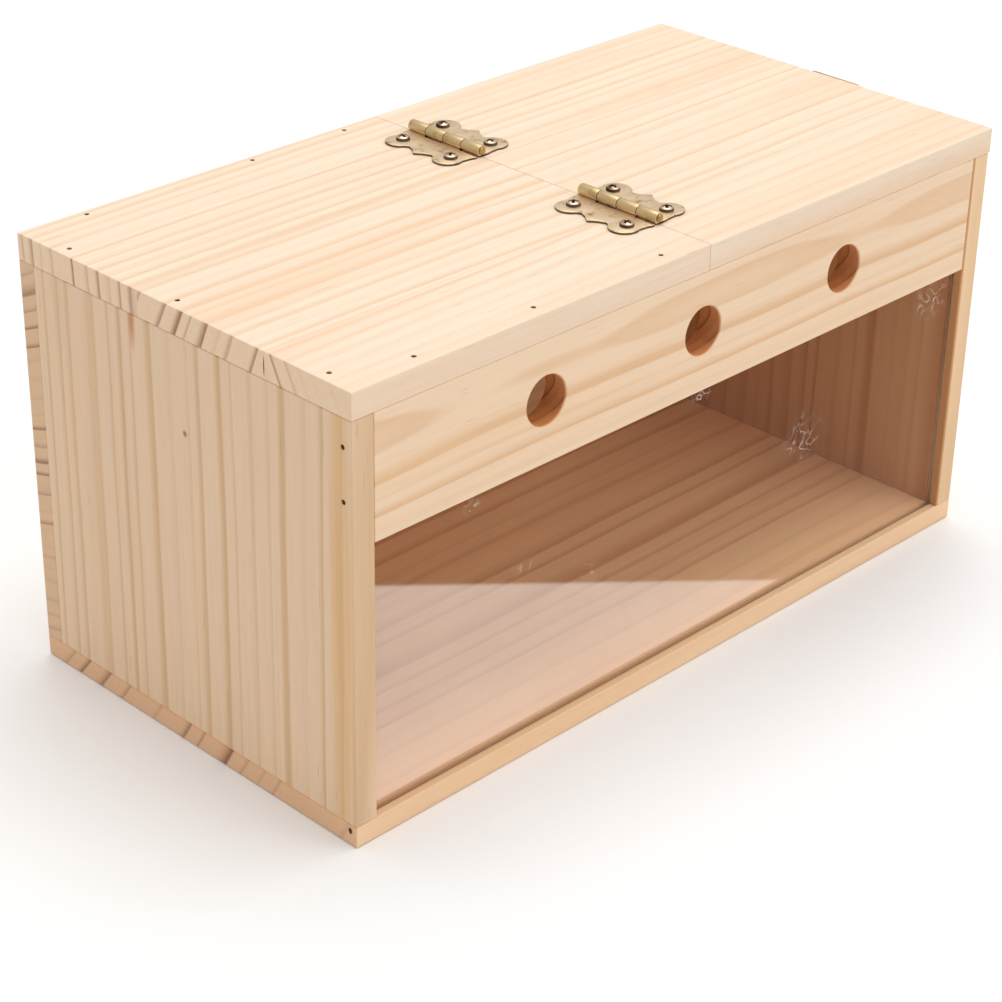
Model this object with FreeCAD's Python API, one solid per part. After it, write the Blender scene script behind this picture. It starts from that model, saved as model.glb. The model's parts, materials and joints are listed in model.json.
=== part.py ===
"""Wooden nest box with a clear front pane, a hinged half lid and the kit that hangs it on a cage.

The box stands on its floor board. The origin is the centre of the underside, +X runs to the latch end, +Y to the
back board that meets the cage, and +Z up. Sizes are in millimetres. Each piece is one STEP file, and identical
fasteners share a file as separate solids.
"""
import FreeCAD, Part
import math
import os

Vector = FreeCAD.Vector
X_AXIS = Vector(1, 0, 0)
Y_AXIS = Vector(0, 1, 0)
Z_AXIS = Vector(0, 0, 1)

# Box, over the boards
box_length = 300.0
box_depth = 154.0
box_height = 154.0

# Boards
top_thickness = 9.0
floor_thickness = 7.5
end_thickness = 8.5
back_thickness = 7.5
rail_thickness = 9.0
rail_height = 41.7
fixed_top_length = 151.1
lid_seam = 0.2
lid_overhang = 0.8
edge_round = 0.4

# Window pane, slid into grooves in the floor, the end panels and the rail
pane_thickness = 2.0
pane_setback = 2.9
groove_depth = 2.8
pane_clearance = 0.1
pane_top_gap = 0.3

# Ventilation holes in the rail
vent_diameter = 16.5
vent_pitch = 71.4
vent_below_top = 29.3
vent_chamfer = 0.5

# Entrance hole in the back board
entrance_diameter = 40.0
entrance_from_end = 75.0
entrance_above_floor = 88.5
entrance_chamfer = 1.2

# Nails, driven a little below the surface
nail_length = 19.0
nail_radius = 0.6
nail_head_radius = 0.85
nail_head_thickness = 0.6
nail_sink = 0.35
nail_point = 1.6
nail_slack = 0.03
nail_shares_front = (0.190, 0.511, 0.884)
nail_shares_back = (0.164, 0.617, 0.889)
nail_shares_side = (0.089, 0.522, 0.862)
nail_shares_even = (0.14, 0.5, 0.86)
nail_shares_rail = (0.36, 0.78)

# Butterfly hinges: two like stampings on one pin, four knuckles in all
hinge_from_front = 38.5
hinge_from_back = 36.0
hinge_length = 34.0
leaf_thickness = 0.8
knuckle_count = 4
knuckle_radius = 2.05
knuckle_gap = 0.3
knuckle_clearance = 0.25
knuckle_lift = 0.05
hinge_pin_radius = 1.0
hinge_pin_fit = 0.03
hinge_pin_head_radius = 1.45
hinge_pin_head_length = 0.45
lobe_radius = 5.2
lobe_out = 10.7
lobe_along = 11.5
waist_out = 12.2
waist_along = 5.6
leaf_point_out = 15.6
leaf_shoulder_out = 5.0

# Hinge screws
screw_out = 9.4
screw_along = 11.6
screw_length = 7.6
screw_radius = 1.25
screw_head_radius = 2.4
screw_head_height = 1.5
screw_slack = 0.03
cross_length = 2.9
cross_width = 0.7
cross_depth = 1.0

# Latch: a hook riveted to the end panel, and a peg on the lid's end edge
latch_from_front = 70.0
latch_plate_length = 23.0
latch_plate_thickness = 1.2
latch_plate_margin = 0.2
latch_corner = 2.0
hook_plate_height = 11.0
latch_screw_spacing = 16.0
latch_screw_length = 9.0
latch_screw_radius = 0.95
latch_screw_head_radius = 1.8
latch_screw_head_height = 0.9
peg_radius = 1.3
peg_reach = 3.2
peg_head_radius = 2.3
peg_head_thickness = 0.9
tail_radius = 1.0
tail_length = 4.0
hook_reach = 22.0
hook_thickness = 1.4
hook_gap = 0.4
hook_eye_radius = 3.4
hook_arm_width = 3.4
hook_throat_clearance = 0.6
hook_wall = 1.9
rivet_radius = 1.5
rivet_fit = 0.05
rivet_shoulder_radius = 2.3
rivet_head_radius = 2.5
rivet_head_thickness = 1.0

# Threads, drawn as rings of the true pitch and depth
thread_radius = 2.5
thread_pitch = 0.8
thread_depth = 0.43
thread_fit = 0.05

# Hanging bolts, dished washers and wing nuts
bolt_length = 30.0
bolt_head_flats = 8.0
bolt_head_height = 3.5
bolt_head_chamfer = 0.5
bolt_hole_clearance = 0.1
left_bolt_from_end = 38.0
right_bolt_from_end = 25.0
upper_bolt_below_top = 32.0
lower_bolt_from_middle = 10.0
lower_bolt_above_floor = 24.0
washer_diameter = 38.0
washer_hole_diameter = 9.4
washer_thickness = 1.2
washer_rim = 1.5
washer_rise = 1.3
washer_cup_rise = 0.3
washer_cup_outer_radius = 9.9
washer_cup_inner_radius = 7.8
nut_base_radius = 5.6
nut_top_radius = 4.6
nut_height = 6.0
wing_span = 27.0
wing_thickness = 2.6
wing_ear_radius = 3.1
wing_ear_height = 9.2
wing_foot_height = 1.2

# Perch: a dowel on a threaded stud that screws through the back board
perch_diameter = 17.5
perch_length = 145.0
perch_below_entrance = 25.0
perch_end_round = 1.0
stud_free_length = 27.0
stud_set_length = 24.0

# Places worked out from the sizes above
right_end = box_length / 2
left_end = -right_end
back_face = box_depth / 2
front_face = -back_face
top_underside = box_height - top_thickness
back_inner = back_face - back_thickness
rail_bottom = top_underside - rail_height
inner_half_length = right_end - end_thickness
seam_x = left_end + fixed_top_length
hinge_axis_x = seam_x + lid_seam / 2
hinge_axis_rise = knuckle_radius + knuckle_lift
hinge_axis_z = box_height + hinge_axis_rise
hinge_places = {"front": front_face + hinge_from_front, "rear": back_face - hinge_from_back}
lid_end = right_end + lid_overhang
pane_front = front_face + pane_setback
latch_y = front_face + latch_from_front
peg_z = top_underside + top_thickness / 2
rivet_z = peg_z - hook_reach
hook_inner_x = lid_end + latch_plate_thickness + hook_gap
entrance_x = right_end - entrance_from_end
entrance_z = floor_thickness + entrance_above_floor
perch_z = entrance_z - entrance_diameter / 2 - perch_below_entrance
upper_bolt_z = box_height - upper_bolt_below_top
bolt_places = {
    "left": (left_end + left_bolt_from_end, upper_bolt_z),
    "right": (right_end - right_bolt_from_end, upper_bolt_z),
    "lower": (-lower_bolt_from_middle, floor_thickness + lower_bolt_above_floor),
}


def block(x0, x1, y0, y1, z0, z1):
    """A box between two corners."""
    return Part.makeBox(x1 - x0, y1 - y0, z1 - z0, Vector(x0, y0, z0))


def board(x0, x1, y0, y1, z0, z1, sawn_at=None):
    """A planed board: a box with its edges slightly rounded, but for those of a fresh cut at x = sawn_at."""
    plank = block(x0, x1, y0, y1, z0, z1)
    eased = plank.Edges
    if sawn_at is not None:
        eased = [edge for edge in eased if any(abs(corner.X - sawn_at) > edge_round for corner in edge.Vertexes)]
    return plank.makeFillet(edge_round, eased)


def turned(points, base, axis):
    """A solid of revolution from (radius, height) points, its foot at base and its height along axis."""
    outline = Part.makePolygon([Vector(r, 0, h) for r, h in points + points[:1]])
    solid = Part.Face(outline).revolve(Vector(0, 0, 0), Z_AXIS, 360)
    solid.Placement = FreeCAD.Placement(base, FreeCAD.Rotation(Z_AXIS, axis))
    return solid


def chamfered_hole(radius, depth, chamfer, base, axis):
    """The cutter for a through hole with a chamfer at both mouths."""
    return turned(
        [
            (0, -1),
            (radius + chamfer + 1, -1),
            (radius, chamfer),
            (radius, depth - chamfer),
            (radius + chamfer + 1, depth + 1),
            (0, depth + 1),
        ],
        base,
        axis,
    )


def mirrored_about_middle(x):
    """The two mirror places of a distance from the middle of the box's length."""
    return (-x, x)


# Nails ------------------------------------------------------------------------------------------------------------


def nail(point, inward):
    """A small round-headed nail, driven below the surface at point."""
    return turned(
        [
            (0, nail_sink),
            (nail_head_radius, nail_sink),
            (nail_head_radius, nail_sink + nail_head_thickness),
            (nail_radius, nail_sink + nail_head_thickness),
            (nail_radius, nail_length - nail_point),
            (0, nail_length),
        ],
        point,
        inward,
    )


def nail_hole(point, inward):
    """The hole that one nail makes, open above its sunken head."""
    seat = nail_sink + nail_head_thickness
    return turned(
        [
            (0, -1),
            (nail_head_radius + nail_slack, -1),
            (nail_head_radius + nail_slack, seat),
            (nail_radius + nail_slack, seat),
            (nail_radius + nail_slack, nail_length + nail_slack),
            (0, nail_length + nail_slack),
        ],
        point,
        inward,
    )


def top_nail_places():
    """Three nails into the rail, three into the back board and three into the left end panel."""
    down = -Z_AXIS
    in_rail = front_face + rail_thickness * 0.58
    in_back = back_face - back_thickness * 0.4
    in_end = left_end + end_thickness / 2
    front_row = [Vector(left_end + s * fixed_top_length, in_rail, box_height) for s in nail_shares_front]
    back_row = [Vector(left_end + s * fixed_top_length, in_back, box_height) for s in nail_shares_back]
    side_row = [Vector(in_end, front_face + s * box_depth, box_height) for s in nail_shares_side]
    return [(point, down) for point in front_row + back_row + side_row]


def end_nail_places():
    """Two nails through each end panel into the rail's end."""
    y = front_face + rail_thickness * 0.42
    heights = [rail_bottom + share * rail_height for share in nail_shares_rail]
    left = [(Vector(left_end, y, z), X_AXIS) for z in heights]
    right = [(Vector(right_end, y, z), -X_AXIS) for z in heights]
    return left + right


def back_nail_places():
    """Three nails through the back board into each end panel's back edge."""
    places = []
    for x in mirrored_about_middle(right_end - end_thickness / 2):
        for share in nail_shares_even:
            z = floor_thickness + share * (top_underside - floor_thickness)
            places.append((Vector(x, back_face, z), -Y_AXIS))
    return places


def floor_nail_places():
    """Nails up through the floor board: three into each end panel and three into the back board."""
    places = []
    for x in mirrored_about_middle(right_end - end_thickness / 2):
        for share in nail_shares_even:
            places.append((Vector(x, front_face + share * (back_inner - front_face), 0), Z_AXIS))
    for share in nail_shares_even:
        places.append((Vector(left_end + share * box_length, back_face - back_thickness / 2, 0), Z_AXIS))
    return places


def all_nail_holes():
    """Every nail's hole, to be cut from the boards."""
    places = top_nail_places() + end_nail_places() + back_nail_places() + floor_nail_places()
    return [nail_hole(point, inward) for point, inward in places]


def nails(places):
    """One group of nails, as separate solids."""
    return Part.makeCompound([nail(point, inward) for point, inward in places])


# Boards and pane --------------------------------------------------------------------------------------------------


def pane_box(grow):
    """The pane's own box, or with grow the space of its grooves."""
    reach = inner_half_length + groove_depth
    side_gap = 0.0 if grow else pane_clearance
    top_gap = 0.0 if grow else pane_top_gap
    thickness_gap = pane_clearance if grow else 0.0
    return block(
        -reach + side_gap,
        reach - side_gap,
        pane_front - thickness_gap,
        pane_front + pane_thickness + thickness_gap,
        floor_thickness - groove_depth,
        rail_bottom + groove_depth - top_gap,
    )


def vent_holes():
    """Three round holes through the rail."""
    z = box_height - vent_below_top
    return [
        chamfered_hole(vent_diameter / 2, rail_thickness, vent_chamfer, Vector(x, front_face, z), Y_AXIS)
        for x in (-vent_pitch, 0, vent_pitch)
    ]


def back_holes():
    """The entrance hole, the three bolt holes and the perch stud's threaded hole."""
    entrance = chamfered_hole(
        entrance_diameter / 2,
        back_thickness,
        entrance_chamfer,
        Vector(entrance_x, back_inner, entrance_z),
        Y_AXIS,
    )
    bolt_radius = thread_radius + bolt_hole_clearance
    holes = [entrance]
    for x, z in bolt_places.values():
        holes.append(Part.makeCylinder(bolt_radius, box_depth, Vector(x, 0, z), Y_AXIS))
    stud_hole = Part.makeCylinder(
        thread_radius + thread_fit, box_depth, Vector(entrance_x, 0, perch_z), Y_AXIS
    )
    holes.append(stud_hole)
    return holes


def fixed_boards():
    """The six boards that are nailed together, by name."""
    groove = pane_box(grow=True)
    ends_z = (floor_thickness, top_underside)
    boards = {
        "floor_board": board(left_end, right_end, front_face, back_face, 0, floor_thickness).cut(groove),
        "left_end_panel": board(left_end, -inner_half_length, front_face, back_inner, *ends_z).cut(groove),
        "right_end_panel": board(inner_half_length, right_end, front_face, back_inner, *ends_z).cut(groove),
        "front_rail": board(
            -inner_half_length,
            inner_half_length,
            front_face,
            front_face + rail_thickness,
            rail_bottom,
            top_underside,
        ).cut([groove] + vent_holes()),
        "back_board": board(left_end, right_end, back_inner, back_face, *ends_z).cut(back_holes()),
        "fixed_top_board": board(left_end, seam_x, front_face, back_face, top_underside, box_height, seam_x),
    }
    holes = all_nail_holes()
    nailed = {name: plank.cut(holes) for name, plank in boards.items()}
    nailed["fixed_top_board"] = nailed["fixed_top_board"].cut(hinge_screw_holes(-1))
    nailed["right_end_panel"] = nailed["right_end_panel"].cut(hook_plate_holes())
    return nailed


def lid_board():
    """The half lid, with holes for its hinge screws, its latch screws and the peg's tail."""
    lid_start = seam_x + lid_seam
    plank = board(lid_start, lid_end, front_face, back_face, top_underside, box_height, lid_start)
    return plank.cut(hinge_screw_holes(1) + peg_plate_holes())


# Hinges -----------------------------------------------------------------------------------------------------------


def leaf_outline():
    """One leaf's plan: a shouldered plate, a pointed middle and a round lobe at each screw."""
    half = hinge_length / 2
    shoulder = half - 0.6
    body = Part.makePolygon(
        [
            Vector(0, -half, 0),
            Vector(leaf_shoulder_out - 1.5, -half, 0),
            Vector(leaf_shoulder_out, -shoulder, 0),
            Vector(lobe_out, -lobe_along, 0),
            Vector(waist_out, -waist_along, 0),
            Vector(waist_out + 1.2, -waist_along / 2, 0),
            Vector(leaf_point_out, 0, 0),
            Vector(waist_out + 1.2, waist_along / 2, 0),
            Vector(waist_out, waist_along, 0),
            Vector(lobe_out, lobe_along, 0),
            Vector(leaf_shoulder_out, shoulder, 0),
            Vector(leaf_shoulder_out - 1.5, half, 0),
            Vector(0, half, 0),
            Vector(0, -half, 0),
        ]
    )
    plate = Part.Face(body).extrude(Z_AXIS * leaf_thickness)
    lobes = [
        Part.makeCylinder(lobe_radius, leaf_thickness, Vector(lobe_out, along, 0))
        for along in (-lobe_along, lobe_along)
    ]
    return plate.fuse(lobes).removeSplitter()


def knuckle_span(index):
    """Where a knuckle starts and ends along the pin, its end gaps taken off."""
    pitch = hinge_length / knuckle_count
    start = -hinge_length / 2 + index * pitch
    return start + knuckle_gap / 2, start + pitch - knuckle_gap / 2


def hinge_leaf():
    """One stamping with its first and third knuckle, its plate along +X from the pin's axis."""
    leaf = leaf_outline()
    clear = knuckle_radius + knuckle_clearance
    for index in range(1, knuckle_count, 2):
        start, end = knuckle_span(index)
        leaf = leaf.cut(block(-1, clear, start - knuckle_gap, end + knuckle_gap, -1, leaf_thickness + 1))
    for index in range(0, knuckle_count, 2):
        start, end = knuckle_span(index)
        centre = Vector(0, start, hinge_axis_rise)
        leaf = leaf.fuse(Part.makeCylinder(knuckle_radius, end - start, centre, Y_AXIS))
    trim_start, trim_end = knuckle_span(0)
    leaf = leaf.cut(block(-5, clear, -hinge_length, trim_start, -1, knuckle_radius * 3))
    bore = Part.makeCylinder(
        hinge_pin_radius + hinge_pin_fit, hinge_length * 2, Vector(0, -hinge_length, hinge_axis_rise), Y_AXIS
    )
    screw_holes = [
        Part.makeCylinder(screw_radius + screw_slack, leaf_thickness * 3, Vector(screw_out, along, -1))
        for along in (-screw_along, screw_along)
    ]
    return leaf.cut([bore] + screw_holes).removeSplitter()


def placed_leaf(place_y, side):
    """A leaf on the box top: side +1 is the lid's, -1 the fixed top's, turned half round."""
    turn = FreeCAD.Rotation(Z_AXIS, 0 if side > 0 else 180)
    leaf = hinge_leaf()
    leaf.Placement = FreeCAD.Placement(Vector(hinge_axis_x, place_y, box_height), turn)
    return leaf


def hinge_pin(place_y):
    """The pin, with a small peened head at each end, just past the knuckles."""
    half = hinge_length / 2
    head_end = half + hinge_pin_head_length
    return turned(
        [
            (0, -head_end),
            (hinge_pin_head_radius - 0.3, -head_end),
            (hinge_pin_head_radius, -half),
            (hinge_pin_radius, -half),
            (hinge_pin_radius, half),
            (hinge_pin_head_radius, half),
            (hinge_pin_head_radius - 0.3, head_end),
            (0, head_end),
        ],
        Vector(hinge_axis_x, place_y, hinge_axis_z),
        Y_AXIS,
    )


def hinge_screw_places(side):
    """The four hinge screws on one side of the pins: side +1 is the lid's."""
    return [
        Vector(hinge_axis_x + side * screw_out, y + along, box_height)
        for y in hinge_places.values()
        for along in (-screw_along, screw_along)
    ]


def hinge_screw(seat):
    """A pan-head screw with a cross slot, its shank below seat and its head on top of the leaf."""
    head_base = leaf_thickness
    head_top = head_base + screw_head_height
    shank_end = -(screw_length - leaf_thickness)
    screw = turned(
        [
            (0, shank_end),
            (screw_radius, shank_end + screw_radius * 1.5),
            (screw_radius, head_base),
            (screw_head_radius, head_base),
            (screw_head_radius, head_base + screw_head_height * 0.35),
            (screw_head_radius * 0.88, head_base + screw_head_height * 0.72),
            (screw_head_radius * 0.6, head_base + screw_head_height * 0.95),
            (0, head_top),
        ],
        seat,
        Z_AXIS,
    )
    slot_floor = seat.z + head_top - cross_depth
    half_long = cross_length / 2
    half_wide = cross_width / 2
    slot_x = block(-half_long, half_long, -half_wide, half_wide, slot_floor, slot_floor + 9)
    slot_y = block(-half_wide, half_wide, -half_long, half_long, slot_floor, slot_floor + 9)
    cross = slot_x.fuse(slot_y)
    turn = 37.0 * (seat.x + 2 * seat.y)
    cross.rotate(Vector(0, 0, 0), Z_AXIS, turn % 90)
    cross.translate(Vector(seat.x, seat.y, 0))
    return screw.cut(cross)


def hinge_screws(side):
    """The four screws on one side, as separate solids."""
    return Part.makeCompound([hinge_screw(seat) for seat in hinge_screw_places(side)])


def hinge_screw_holes(side):
    """Pilot holes for the hinge screws in the wood."""
    depth = screw_length - leaf_thickness + screw_slack
    return [
        Part.makeCylinder(screw_radius + screw_slack, depth + 1, seat - Z_AXIS * depth)
        for seat in hinge_screw_places(side)
    ]


# Latch ------------------------------------------------------------------------------------------------------------


def rounded_plate(x, z0, z1):
    """A latch plate standing on the face at x, with rounded corners."""
    half = latch_plate_length / 2
    plate = block(x, x + latch_plate_thickness, latch_y - half, latch_y + half, z0, z1)
    corners = [edge for edge in plate.Edges if abs(edge.tangentAt(edge.FirstParameter).x) > 0.9]
    return plate.makeFillet(latch_corner, corners)


def latch_screw_places(x, z):
    """The two screws of a latch plate, their heads flush with its face."""
    half = latch_screw_spacing / 2
    return [Vector(x + latch_plate_thickness, latch_y + offset, z) for offset in (-half, half)]


def latch_screw_profile(slack):
    """A flat-head screw's outline, its flush face at height 0 and its point along -height."""
    shank_end = -latch_screw_length - slack
    return [
        (0, shank_end),
        (latch_screw_radius + slack, shank_end + latch_screw_radius),
        (latch_screw_radius + slack, -latch_screw_head_height - slack),
        (latch_screw_head_radius + slack, 0),
        (0, 0),
    ]


def latch_screw_solids(places, slack):
    """The flat-head screws at the places, or with slack the holes that they sit in."""
    return [turned(latch_screw_profile(slack), place, X_AXIS) for place in places]


def peg_plate_screws():
    """Places of the two screws that hold the peg plate to the lid."""
    return latch_screw_places(lid_end, peg_z)


def hook_plate_screws():
    """Places of the two screws that hold the hook plate to the end panel."""
    return latch_screw_places(right_end, rivet_z)


def latch_screw_group(places):
    """One plate's two screws with their cross slots, as separate solids."""
    half_long = cross_length * 0.36
    half_wide = cross_width * 0.36
    screws = []
    for place, screw in zip(places, latch_screw_solids(places, 0)):
        face = place.x - cross_depth * 0.5
        y, z = place.y, place.z
        upright = block(face, place.x + 1, y - half_wide, y + half_wide, z - half_long, z + half_long)
        level = block(face, place.x + 1, y - half_long, y + half_long, z - half_wide, z + half_wide)
        screws.append(screw.cut([upright, level]))
    return Part.makeCompound(screws)


def tail_hole(x, z):
    """The hole through a latch plate and into the wood for a peg's or rivet's tail."""
    through = tail_length + 2 * latch_plate_thickness
    return Part.makeCylinder(tail_radius, through, Vector(x - tail_length, latch_y, z), X_AXIS)


def peg_plate_holes():
    """What the peg plate's screws and the peg's tail take out of the lid."""
    return latch_screw_solids(peg_plate_screws(), nail_slack) + [tail_hole(lid_end, peg_z)]


def hook_plate_holes():
    """What the hook plate's screws and the rivet's tail take out of the end panel."""
    return latch_screw_solids(hook_plate_screws(), nail_slack) + [tail_hole(right_end, rivet_z)]


def latch_peg_plate():
    """The plate on the lid's end edge that carries the peg."""
    z0 = top_underside + latch_plate_margin
    z1 = box_height - latch_plate_margin / 2
    return rounded_plate(lid_end, z0, z1).cut(peg_plate_holes())


def latch_hook_plate():
    """The plate on the end panel that carries the rivet."""
    half = hook_plate_height / 2
    return rounded_plate(right_end, rivet_z - half, rivet_z + half).cut(hook_plate_holes())


def latch_peg():
    """The headed peg that the hook catches, its tail through the plate and into the lid."""
    face = latch_plate_thickness
    head_start = face + peg_reach
    head_end = head_start + peg_head_thickness
    return turned(
        [
            (0, -tail_length),
            (tail_radius, -tail_length),
            (tail_radius, face),
            (peg_radius, face),
            (peg_radius, head_start),
            (peg_head_radius, head_start),
            (peg_head_radius, head_end - 0.4),
            (peg_head_radius * 0.6, head_end),
            (0, head_end),
        ],
        Vector(lid_end, latch_y, peg_z),
        X_AXIS,
    )


def latch_rivet():
    """The shouldered rivet that the hook turns on."""
    face = latch_plate_thickness
    arm_inner = hook_inner_x - right_end
    head_start = arm_inner + hook_thickness + rivet_fit
    head_end = head_start + rivet_head_thickness
    return turned(
        [
            (0, -tail_length),
            (tail_radius, -tail_length),
            (tail_radius, face),
            (rivet_shoulder_radius, face),
            (rivet_shoulder_radius, arm_inner - rivet_fit),
            (rivet_radius, arm_inner - rivet_fit),
            (rivet_radius, head_start),
            (rivet_head_radius, head_start),
            (rivet_head_radius, head_end - 0.4),
            (rivet_head_radius * 0.6, head_end),
            (0, head_end),
        ],
        Vector(right_end, latch_y, rivet_z),
        X_AXIS,
    )


def latch_hook():
    """The hook, hanging from its rivet: an eye, a tapering arm and an open throat that faces +Y."""
    throat_radius = peg_radius + hook_throat_clearance
    outer_radius = throat_radius + hook_wall
    throat_z = rivet_z - hook_reach
    base = hook_inner_x
    eye = Part.makeCylinder(hook_eye_radius, hook_thickness, Vector(base, latch_y, rivet_z), X_AXIS)
    claw = Part.makeCylinder(outer_radius, hook_thickness, Vector(base, latch_y, throat_z), X_AXIS)
    half = hook_arm_width / 2
    arm = block(base, base + hook_thickness, latch_y - half - 0.8, latch_y + half - 0.8, throat_z, rivet_z)
    throat = Part.makeCylinder(throat_radius, hook_thickness, Vector(base, latch_y, throat_z), X_AXIS)
    mouth = block(
        base,
        base + hook_thickness,
        latch_y,
        latch_y + outer_radius + 1,
        throat_z - throat_radius,
        throat_z + throat_radius,
    )
    eye_hole = Part.makeCylinder(
        rivet_radius + rivet_fit, hook_thickness, Vector(base, latch_y, rivet_z), X_AXIS
    )
    return eye.fuse([claw, arm]).cut([throat, mouth, eye_hole]).removeSplitter()


# Hanging kit and perch --------------------------------------------------------------------------------------------


def threaded_rod(length, chamfered_end):
    """Outline points of a threaded rod from height 0 up, as rings of the thread's pitch and depth."""
    root = thread_radius - thread_depth
    count = int((length - thread_pitch) / thread_pitch)
    points = [(0, 0), (root, 0)]
    for index in range(count):
        start = index * thread_pitch
        points.append((root, start + 0.1 * thread_pitch))
        points.append((thread_radius, start + 0.45 * thread_pitch))
        points.append((thread_radius, start + 0.6 * thread_pitch))
        points.append((root, start + 0.95 * thread_pitch))
    end_radius = root if chamfered_end else thread_radius
    points.append((end_radius, length))
    points.append((0, length))
    return points


def hanging_bolt(x, z):
    """A hexagon-head bolt: its head inside the box, its thread out through the back board."""
    corner_radius = bolt_head_flats / math.sqrt(3)
    corners = [
        Vector(corner_radius * math.cos(math.radians(60 * k)), corner_radius * math.sin(math.radians(60 * k)), 0)
        for k in range(7)
    ]
    prism = Part.Face(Part.makePolygon(corners)).extrude(Z_AXIS * bolt_head_height)
    rounding = turned(
        [
            (0, 0),
            (bolt_head_flats / 2, 0),
            (corner_radius + bolt_head_chamfer, bolt_head_chamfer * 2),
            (corner_radius + bolt_head_chamfer, bolt_head_height),
            (0, bolt_head_height),
        ],
        Vector(0, 0, 0),
        Z_AXIS,
    )
    head = prism.common(rounding)
    shank = turned(threaded_rod(bolt_length - bolt_head_height, True), Vector(0, 0, bolt_head_height), Z_AXIS)
    bolt = head.fuse(shank)
    foot = Vector(x, back_inner - bolt_head_height, z)
    bolt.Placement = FreeCAD.Placement(foot, FreeCAD.Rotation(Z_AXIS, Y_AXIS))
    return bolt


def dished_washer(x, z):
    """A large washer with a coned flange and a cupped middle, its rim on the back board."""
    rim = washer_diameter / 2
    hole = washer_hole_diameter / 2
    under = [
        (rim, 0),
        (rim - washer_rim, 0),
        (washer_cup_outer_radius + 0.8, washer_rise),
        (washer_cup_outer_radius, washer_rise),
        (washer_cup_inner_radius, washer_cup_rise),
        (hole, washer_cup_rise),
    ]
    over = [(radius, height + washer_thickness) for radius, height in reversed(under)]
    return turned(under + over, Vector(x, back_face, z), Y_AXIS)


def wing_nut(x, z):
    """A wing nut: a tapered body and two rounded wings, seated in the washer's cup."""
    body = Part.makeCone(nut_base_radius, nut_top_radius, nut_height)
    ear_out = wing_span / 2 - wing_ear_radius
    half = wing_thickness / 2
    wings = []
    for side in (-1, 1):
        foot = Part.makePolygon(
            [
                Vector(side * 1.0, -half, wing_foot_height),
                Vector(side * nut_base_radius, -half, wing_foot_height),
                Vector(side * (ear_out + wing_ear_radius * 0.75), -half, wing_ear_height - wing_ear_radius * 0.66),
                Vector(side * (ear_out - wing_ear_radius * 0.75), -half, wing_ear_height + wing_ear_radius * 0.66),
                Vector(side * 1.0, -half, nut_height),
                Vector(side * 1.0, -half, wing_foot_height),
            ]
        )
        wings.append(Part.Face(foot).extrude(Y_AXIS * wing_thickness))
        ear_centre = Vector(side * ear_out, -half, wing_ear_height)
        wings.append(Part.makeCylinder(wing_ear_radius, wing_thickness, ear_centre, Y_AXIS))
    bore = Part.makeCylinder(thread_radius + thread_fit, wing_span, Vector(0, 0, -1))
    nut = body.fuse(wings).cut(bore).removeSplitter()
    seat = Vector(x, back_face + washer_cup_rise + washer_thickness, z)
    nut.Placement = FreeCAD.Placement(seat, FreeCAD.Rotation(Z_AXIS, Y_AXIS))
    return nut


def perch_stud():
    """The threaded stud: one stretch set into the dowel, the other through the back board."""
    start = Vector(entrance_x, back_face - stud_free_length, perch_z)
    return turned(threaded_rod(stud_free_length + stud_set_length, False), start, Y_AXIS)


def perch_dowel():
    """The round perch, standing out from the back board below the entrance hole."""
    start = Vector(entrance_x, back_face, perch_z)
    dowel = Part.makeCylinder(perch_diameter / 2, perch_length, start, Y_AXIS)
    rims = [edge for edge in dowel.Edges if len(edge.Vertexes) == 1]
    dowel = dowel.makeFillet(perch_end_round, rims)
    return dowel.cut(Part.makeCylinder(thread_radius + thread_fit, stud_set_length, start, Y_AXIS))


# Assembly ---------------------------------------------------------------------------------------------------------


def build():
    """Every piece of the object, by its node name."""
    pieces = fixed_boards()
    pieces["window_pane"] = pane_box(grow=False)
    pieces["lid_board"] = lid_board()
    pieces["top_nails"] = nails(top_nail_places())
    pieces["end_nails"] = nails(end_nail_places())
    pieces["back_nails"] = nails(back_nail_places())
    pieces["floor_nails"] = nails(floor_nail_places())
    for name, y in hinge_places.items():
        pieces[name + "_hinge_fixed_leaf"] = placed_leaf(y, -1)
        pieces[name + "_hinge_lid_leaf"] = placed_leaf(y, 1)
        pieces[name + "_hinge_pin"] = hinge_pin(y)
    pieces["hinge_screws_fixed_side"] = hinge_screws(-1)
    pieces["hinge_screws_lid_side"] = hinge_screws(1)
    pieces["latch_peg_plate"] = latch_peg_plate()
    pieces["latch_peg"] = latch_peg()
    pieces["latch_peg_plate_screws"] = latch_screw_group(peg_plate_screws())
    pieces["latch_hook_plate"] = latch_hook_plate()
    pieces["latch_rivet"] = latch_rivet()
    pieces["latch_hook"] = latch_hook()
    pieces["latch_hook_plate_screws"] = latch_screw_group(hook_plate_screws())
    for name, (x, z) in bolt_places.items():
        pieces["hanging_bolt_" + name] = hanging_bolt(x, z)
        pieces["dished_washer_" + name] = dished_washer(x, z)
        pieces["wing_nut_" + name] = wing_nut(x, z)
    pieces["perch_stud"] = perch_stud()
    pieces["perch_dowel"] = perch_dowel()
    return pieces


def main():
    """Write one STEP file per piece."""
    os.makedirs("parts", exist_ok=True)
    for name, shape in build().items():
        if not shape.isValid():
            raise ValueError("not a valid solid: " + name)
        shape.exportStep(os.path.join("parts", name + ".step"))


main()
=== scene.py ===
"""Looks of a wooden nest box with a clear front, a hinged half lid, a hook latch and its hanging kit.

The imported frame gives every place. Boards and nails are the frame's own nodes with a better finish. The
pane, the hinges, the latch and the hanging kit are new surfaces worked out here. Lengths are in metres, +X
runs to the latch end, +Y to the back board and +Z up.
"""
from __future__ import annotations

import json
import logging
import math
from dataclasses import dataclass
from enum import Enum
from typing import Any, Iterable, Sequence

import bpy
import numpy as np
from mathutils import Matrix, Vector

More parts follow.
